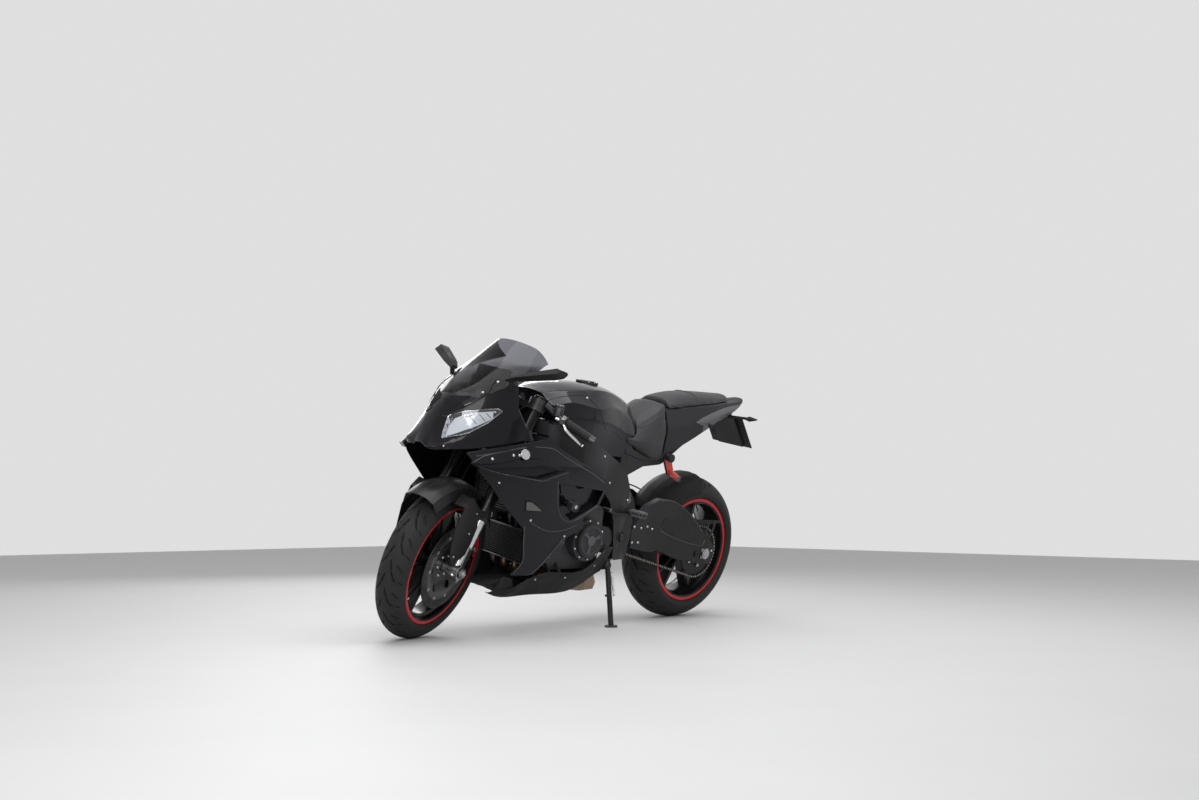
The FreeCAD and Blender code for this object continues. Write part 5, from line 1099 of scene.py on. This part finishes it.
def dress_bars():
    start, bar = Vector((1101.6, 213.9, 900.3)), Vector((-0.318, 0.903, -0.289))
    pivot = Vector((1140.1, 219.7, 906.7))
    blade = [(1141, 224, 903), (1149, 248, 882), (1136, 280, 861), (1113, 316, 839)]
    ribs, blades, pots, bits = [], [], [], []
    for side in (1, -1):
        flip = Vector((1, side, 1))
        for k in range(17):
            ribs.append(turned([(-1.4, 16.8), (-0.9, 17.9), (0.9, 17.9), (1.4, 16.8)],
                               (start + bar * (10 + 6 * k)) * flip, bar * flip, 20, True))
        blades.append(tube([Vector(p) * flip for p in blade], [5.6, 6.6, 6.4, 6.2, 5.6, 7.4], 12))
        blades.append(turned([(0, 12.4), (2, 12.4), (3, 10), (3, 5), (2, 4.6), (2, 0)],
                             (pivot + Vector((0, 0, 9))) * flip, UP, 20))
        pots.append(turned([(0, 19.6), (5, 19.6), (6.4, 18), (6.4, 0)],
                           (pivot + Vector((-14, -30, 46))) * flip, UP, 28))
        bits += [dome((pivot + Vector((-14 + 12 * math.cos(a), -30 + 12 * math.sin(a), 52.3))) * flip, UP,
                      2.6,
                      1.6) for a in (0.5, 2.6, 4.7)]
        bits.append(turned([(0, 5), (2.4, 5), (3, 3.8), (3, 0)],
                           (start - bar * 16 + Vector((8, -2, 20))) * flip,
                           (0.4, 0.0, 0.9), 16))
        bits.append(turned([(-9, 5.4), (-9, 7), (9, 7), (9, 5.4)], (pivot + Vector((4, -16, 2))) * flip,
                           Vector((0.3, -0.95, 0.1)) * flip, 12))
    make("grip_ribs", ribs, "grip_rubber", "steering")
    make("lever_blades", blades, "fork_silver", "steering")
    make("fluid_pot_lids", pots, "moulded_black", "steering")
    make("lever_bits", bits, "zinc", "steering")
    make("red_buttons", [turned([(0, 7), (9, 7), (10, 6), (10, 0)], (1112, side * 172, 922), (0.3, 0, 0.95),
                                16)
                         for side in (1, -1)], "red_metal", "steering")
    spine = [(x, 0) for x in (1590, 1540, 1470, 1400, 1350)]
    make("mudguard_spine", [strip("front_mudguard", spine, 1.4, 1, "z", 0.2)], "moulded_black", "steering")


def dress_rear():
    arm = "swingarm"
    patch_pair("arm_panels", "frame_black", arm,
               [(322, 446), (296, 484), (232, 478), (136, 436), (102, 416), (134, 391), (210, 396)],
               0.1, 2.6, 16, 0.8)
    line_pair("arm_lines", "alloy_dark", arm,
              ([(321, 427), (185, 384), (60, 358), (26, 356), (8, 378)],
               [(470, 500), (420, 545), (347, 556), (244, 548), (120, 484), (40, 420)]), 1.5, 0.2, 4)
    screw_pair("arm_bolts", arm, [(488, 446), (445, 440), (407, 446), (374, 435), (488, 380), (451, 379),
                                  (-52, 330)], 5.5, 3.4)
    blocks = []
    for side, face in ((1, 152), (-1, -140)):
        blocks.append(prism([(-22, 298), (22, 298), (22, 342), (-22, 342)],
                            *sorted((face, face + side * 4))))
        blocks.append(turned([(0, 15), (8, 15), (9, 13), (9, 9), (12, 8), (12, 0)], (0, face + side * 4, 320),
                             (0, side, 0), 6))
        blocks.append(tube([(x, face - side * 14, 320) for x in (-62, -24)], 4, 8, smooth=0))
    make("axle_blocks", blocks, "satin_alloy", bevel=0.8)
    make("guard_struts", [tube([(-40, 121, 446), (-14, 138, 420), (4, 151, 398)], 4, 10),
                          tube([(-84, 121, 452), (-52, 138, 412), (-6, 151, 374)], 4, 10)], "moulded_black")
    make("brake_hose_rear", [tube([(-10, -118, 470), (60, -126, 505), (200, -140, 560), (330, -146, 575),
                                   (450, -140, 540)], 3, 8)], "grip_rubber")
    pegs, hangers, knobs, rings = [], [], [], []
    for side in (1, -1):
        flip = Vector((1, side, 1))
        a, b = Vector((266, 113, 668)) * flip, Vector((300, 190, 655)) * flip
        pegs.append(turned([(0, 12.6), (2, 13.4), (78, 13.4), (83, 11), (83, 0)], a, b - a, 20))
        hangers.append(prism([(310, 750), (289, 750), (254, 680), (263, 657), (284, 660), (316, 715)],
                             *sorted((side * 112, side * 114.4))))
        knobs.append(turned([(0, 17), (3, 18), (12, 18), (14, 14), (14, 0)], (300, side * 124, 735),
                            (0, side, 0), 20))
        a, b = Vector((545, 157, 512)) * flip, Vector((535, 245, 514)) * flip
        rings += [turned([(k * 8 - 2, 12.8), (k * 8 - 1.4, 14), (k * 8 + 1.4, 14), (k * 8 + 2, 12.8)], a,
                         b - a, 18, True) for k in range(2, 11)]
    make("passenger_pegs", pegs, "red_metal")
    make("peg_hangers", hangers, "red_metal", bevel=0.8)
    make("hanger_knobs", knobs, "grip_rubber")
    make("peg_rings", rings, "steel")
    inner = [(640, 600), (640, 790), (560, 790), (480, 730), (480, 650), (560, 600)]
    behind = [(430, 700), (430, 860), (300, 900), (270, 800), (300, 745), (360, 712)]
    make("inner_guards", [prism(inner, 60, 62), prism(inner, -62, -60), prism(behind, 100, 102),
                          prism(behind, -102, -100)], "moulded_black")
    screw_pair("footrest_screws", "footrests", [(566, 560), (560, 520), (586, 548)], 5, 3)
    start, finish = Vector((460, -200, 288)), Vector((205, -222, 428))
    along, length = (finish - start).normalized(), (finish - start).length
    profiles = [[(at - 5, 48), (at - 5, 48.5), (at + 5, 48.5), (at + 5, 48)] for at in (26, length - 60)]
    profiles.append([(length - 2, 34), (length - 2, 47.6), (length - 0.2, 46.6), (length - 0.2, 34.2)])
    make("silencer_bands", [turned(profile, start, along, 48, True) for profile in profiles], "black_steel")
    coil = [(594 + 5 * math.cos(t * 0.8), 158 + 0.252 * t + 5 * math.sin(t * 0.8), 262 - 0.62 * t)
            for t in range(150)]
    make("stand_spring", [tube(coil, 1.3, 6, smooth=0)], "zinc", "side_stand")


def dress_tail():
    tail = "tail_fairing"
    patch_pair("tail_panels", "tail_grey", tail,
               [(163, 893), (124, 912), (56, 936), (-9, 954), (-46, 962), (-82, 968), (-120, 973),
                (-200, 981),
                (-214, 972), (-181, 955), (-120, 933), (-60, 917), (-15, 906), (7, 897), (60, 873),
                (102, 853),
                (103, 880)], 0.15, 2.2, 10)
    line_pair("tail_creases", "tail_grey", tail, [[(150, 893), (54, 898), (-60, 912), (-140, 932)]], 1.2, 1.8)
    line_pair("side_seams", "dark_joint_and_painted_shade", "subframe", [[(580, 748), (500, 727), (440, 716), (392, 722)]],
              1.3, 0.2)
    plate = prism([(-171, 921.5), (-172.5, 922.6), (-275.5, 794.4), (-274, 793.4)], -104, 104)
    make("blank_plate", [plate], "plate_white", bevel=0.4)
    make("plate_screws", [dome((-196, side * 70, 892), (-0.78, 0, 0.63), 4, 2) for side in (1, -1)], "zinc")
    for name, obj in (("rider_top", rider_cover), ("pillion_top", pillion_cover)):
        seen = obj.evaluated_get(bpy.context.evaluated_depsgraph_get()).to_mesh()
        to_drawing = LEAN.inverted() @ obj.matrix_world
        TREES[name] = BVHTree.FromPolygons([(to_drawing @ v.co) / MM for v in seen.vertices],
                                           [tuple(p.vertices) for p in seen.polygons])
    across = [(126, 92), (130, 60), (134, 20), (134, -20), (130, -60), (126, -92)]
    edge = [(308, 957), (284, 953), (220, 951), (150, 954), (60, 963), (-30, 975), (-110, 990)]
    top = [(586, 832), (520, 846), (450, 870), (400, 898), (350, 930)]
    piping = [strip("pillion_top", across, 2.4, 1, "z", 0.6)]
    piping += both(lambda side: [strip("pillion_top", edge, 1.9, side, rise=0.4)])
    piping += both(lambda side: [strip("rider_top", top, 1.6, side, rise=0.2)])
    make("seat_piping", piping, "piping")


def dress_tank():
    tank = "fuel_tank tank_cover"
    line_pair("tank_creases", "gloss_black", tank,
              ([(860, 958), (820, 918), (790, 872), (760, 850), (690, 838), (610, 800)],
               [(1070, 935), (1010, 954), (940, 966), (866, 972)]), 1.6, -0.2)
    screw_pair("tank_screws", tank, [(871, 962), (1040, 915)], 5, 2.6)
    ring = [dome((745 + 37 * math.cos(a), 37 * math.sin(a), 1013.8), UP, 3.4, 2) for a in around(8, 0.2)]
    ring.append(prism([(733, -3.5), (757, -3.5), (757, 3.5), (733, 3.5)], 1016.8, 1018, "z"))
    make("cap_bolts", ring, "zinc", "fuel_cap")


for dress in (dress_nose, dress_flanks, dress_engine, dress_fork, dress_bars, dress_rear, dress_tail,
              dress_tank):
    dress()


# Camera at the photograph's place

CAMERA_PLACE = Vector((4.5438 - 0.6953, 3.8548 - 0.1925, 0.4891))
YAW, PITCH, ROLL = (math.radians(v) for v in (-136.761, 4.629, 0.212))
FOCAL_PIXELS, FRAME_WIDTH = 1308.33, 1199
SENSOR_WIDTH = 36.0


def set_camera():
    data = bpy.data.cameras.new("photo_camera")
    data.sensor_width = SENSOR_WIDTH
    data.lens = FOCAL_PIXELS / FRAME_WIDTH * SENSOR_WIDTH
    camera = in_scene("photo_camera", data)
    ahead = Vector((math.cos(PITCH) * math.cos(YAW), math.cos(PITCH) * math.sin(YAW), math.sin(PITCH)))
    right = ahead.cross(UP).normalized()
    up = right.cross(ahead)
    x = right * math.cos(ROLL) + up * math.sin(ROLL)
    y = up * math.cos(ROLL) - right * math.sin(ROLL)
    camera.matrix_world = Matrix(((x.x, y.x, -ahead.x, CAMERA_PLACE.x), (x.y, y.y, -ahead.y, CAMERA_PLACE.y),
                                  (x.z, y.z, -ahead.z, CAMERA_PLACE.z), (0, 0, 0, 1)))
    bpy.context.scene.camera = camera


# Floor and light

FLOOR_HALF = 9.0
SIDE_LIGHT, SEEN_LIGHT = (0.42, 0.42, 0.43, 1), (0.74, 0.74, 0.74, 1)


def set_floor():
    n = Nodes("studio_floor")
    n.feed({"Base Color": n.mix(n.noise(3.0, 4.0), (0.64, 0.64, 0.64), (0.68, 0.68, 0.68)), "Roughness": 0.6})
    mesh = bpy.data.meshes.new("studio_floor")
    corners = ((-1, -1), (1, -1), (1, 1), (-1, 1))
    mesh.from_pydata([(x * FLOOR_HALF, y * FLOOR_HALF, 0) for x, y in corners], [], [(0, 1, 2, 3)])
    mesh.materials.append(n.mat)
    in_scene("studio_floor", mesh)


def set_world():
    """Even light, with a paler background for the camera, reflections and glass."""
    world = bpy.data.worlds.new("studio")
    world.use_nodes = True
    bpy.context.scene.world = world
    tree = world.node_tree
    rays = tree.nodes.new("ShaderNodeLightPath").outputs
    seen = rays["Is Camera Ray"]
    for kind in ("Is Glossy Ray", "Is Transmission Ray"):
        more = tree.nodes.new("ShaderNodeMath")
        more.operation = "MAXIMUM"
        tree.links.new(seen, more.inputs[0])
        tree.links.new(rays[kind], more.inputs[1])
        seen = more.outputs[0]
    mix = tree.nodes.new("ShaderNodeMix")
    mix.data_type = "RGBA"
    tree.links.new(seen, mix.inputs["Factor"])
    colours = [s for s in mix.inputs if s.type == "RGBA"]
    colours[0].default_value, colours[1].default_value = SIDE_LIGHT, SEEN_LIGHT
    tree.links.new([s for s in mix.outputs if s.type == "RGBA"][0], tree.nodes["Background"].inputs["Color"])


def lamp(name, place, aim, size, power):
    data = bpy.data.lights.new(name, "AREA")
    data.shape = "RECTANGLE"
    data.size, data.size_y = size
    data.energy = power
    obj = in_scene(name, data)
    obj.location = place
    obj.rotation_mode = "QUATERNION"
    obj.rotation_quaternion = (Vector(aim) - Vector(place)).to_track_quat("-Z", "Y")


set_camera()
set_floor()
set_world()
lamp("ceiling", (0.4, 0.8, 3.4), (0.1, 0.1, 0.4), (3.4, 2.6), 85)
lamp("front_side", (3.2, 2.4, 2.0), (0.2, 0.0, 0.5), (1.8, 1.4), 42)
lamp("far_side", (-1.5, -3.2, 2.2), (0.0, 0.0, 0.5), (2.4, 1.6), 40)
bpy.context.scene.view_settings.view_transform = "Standard"
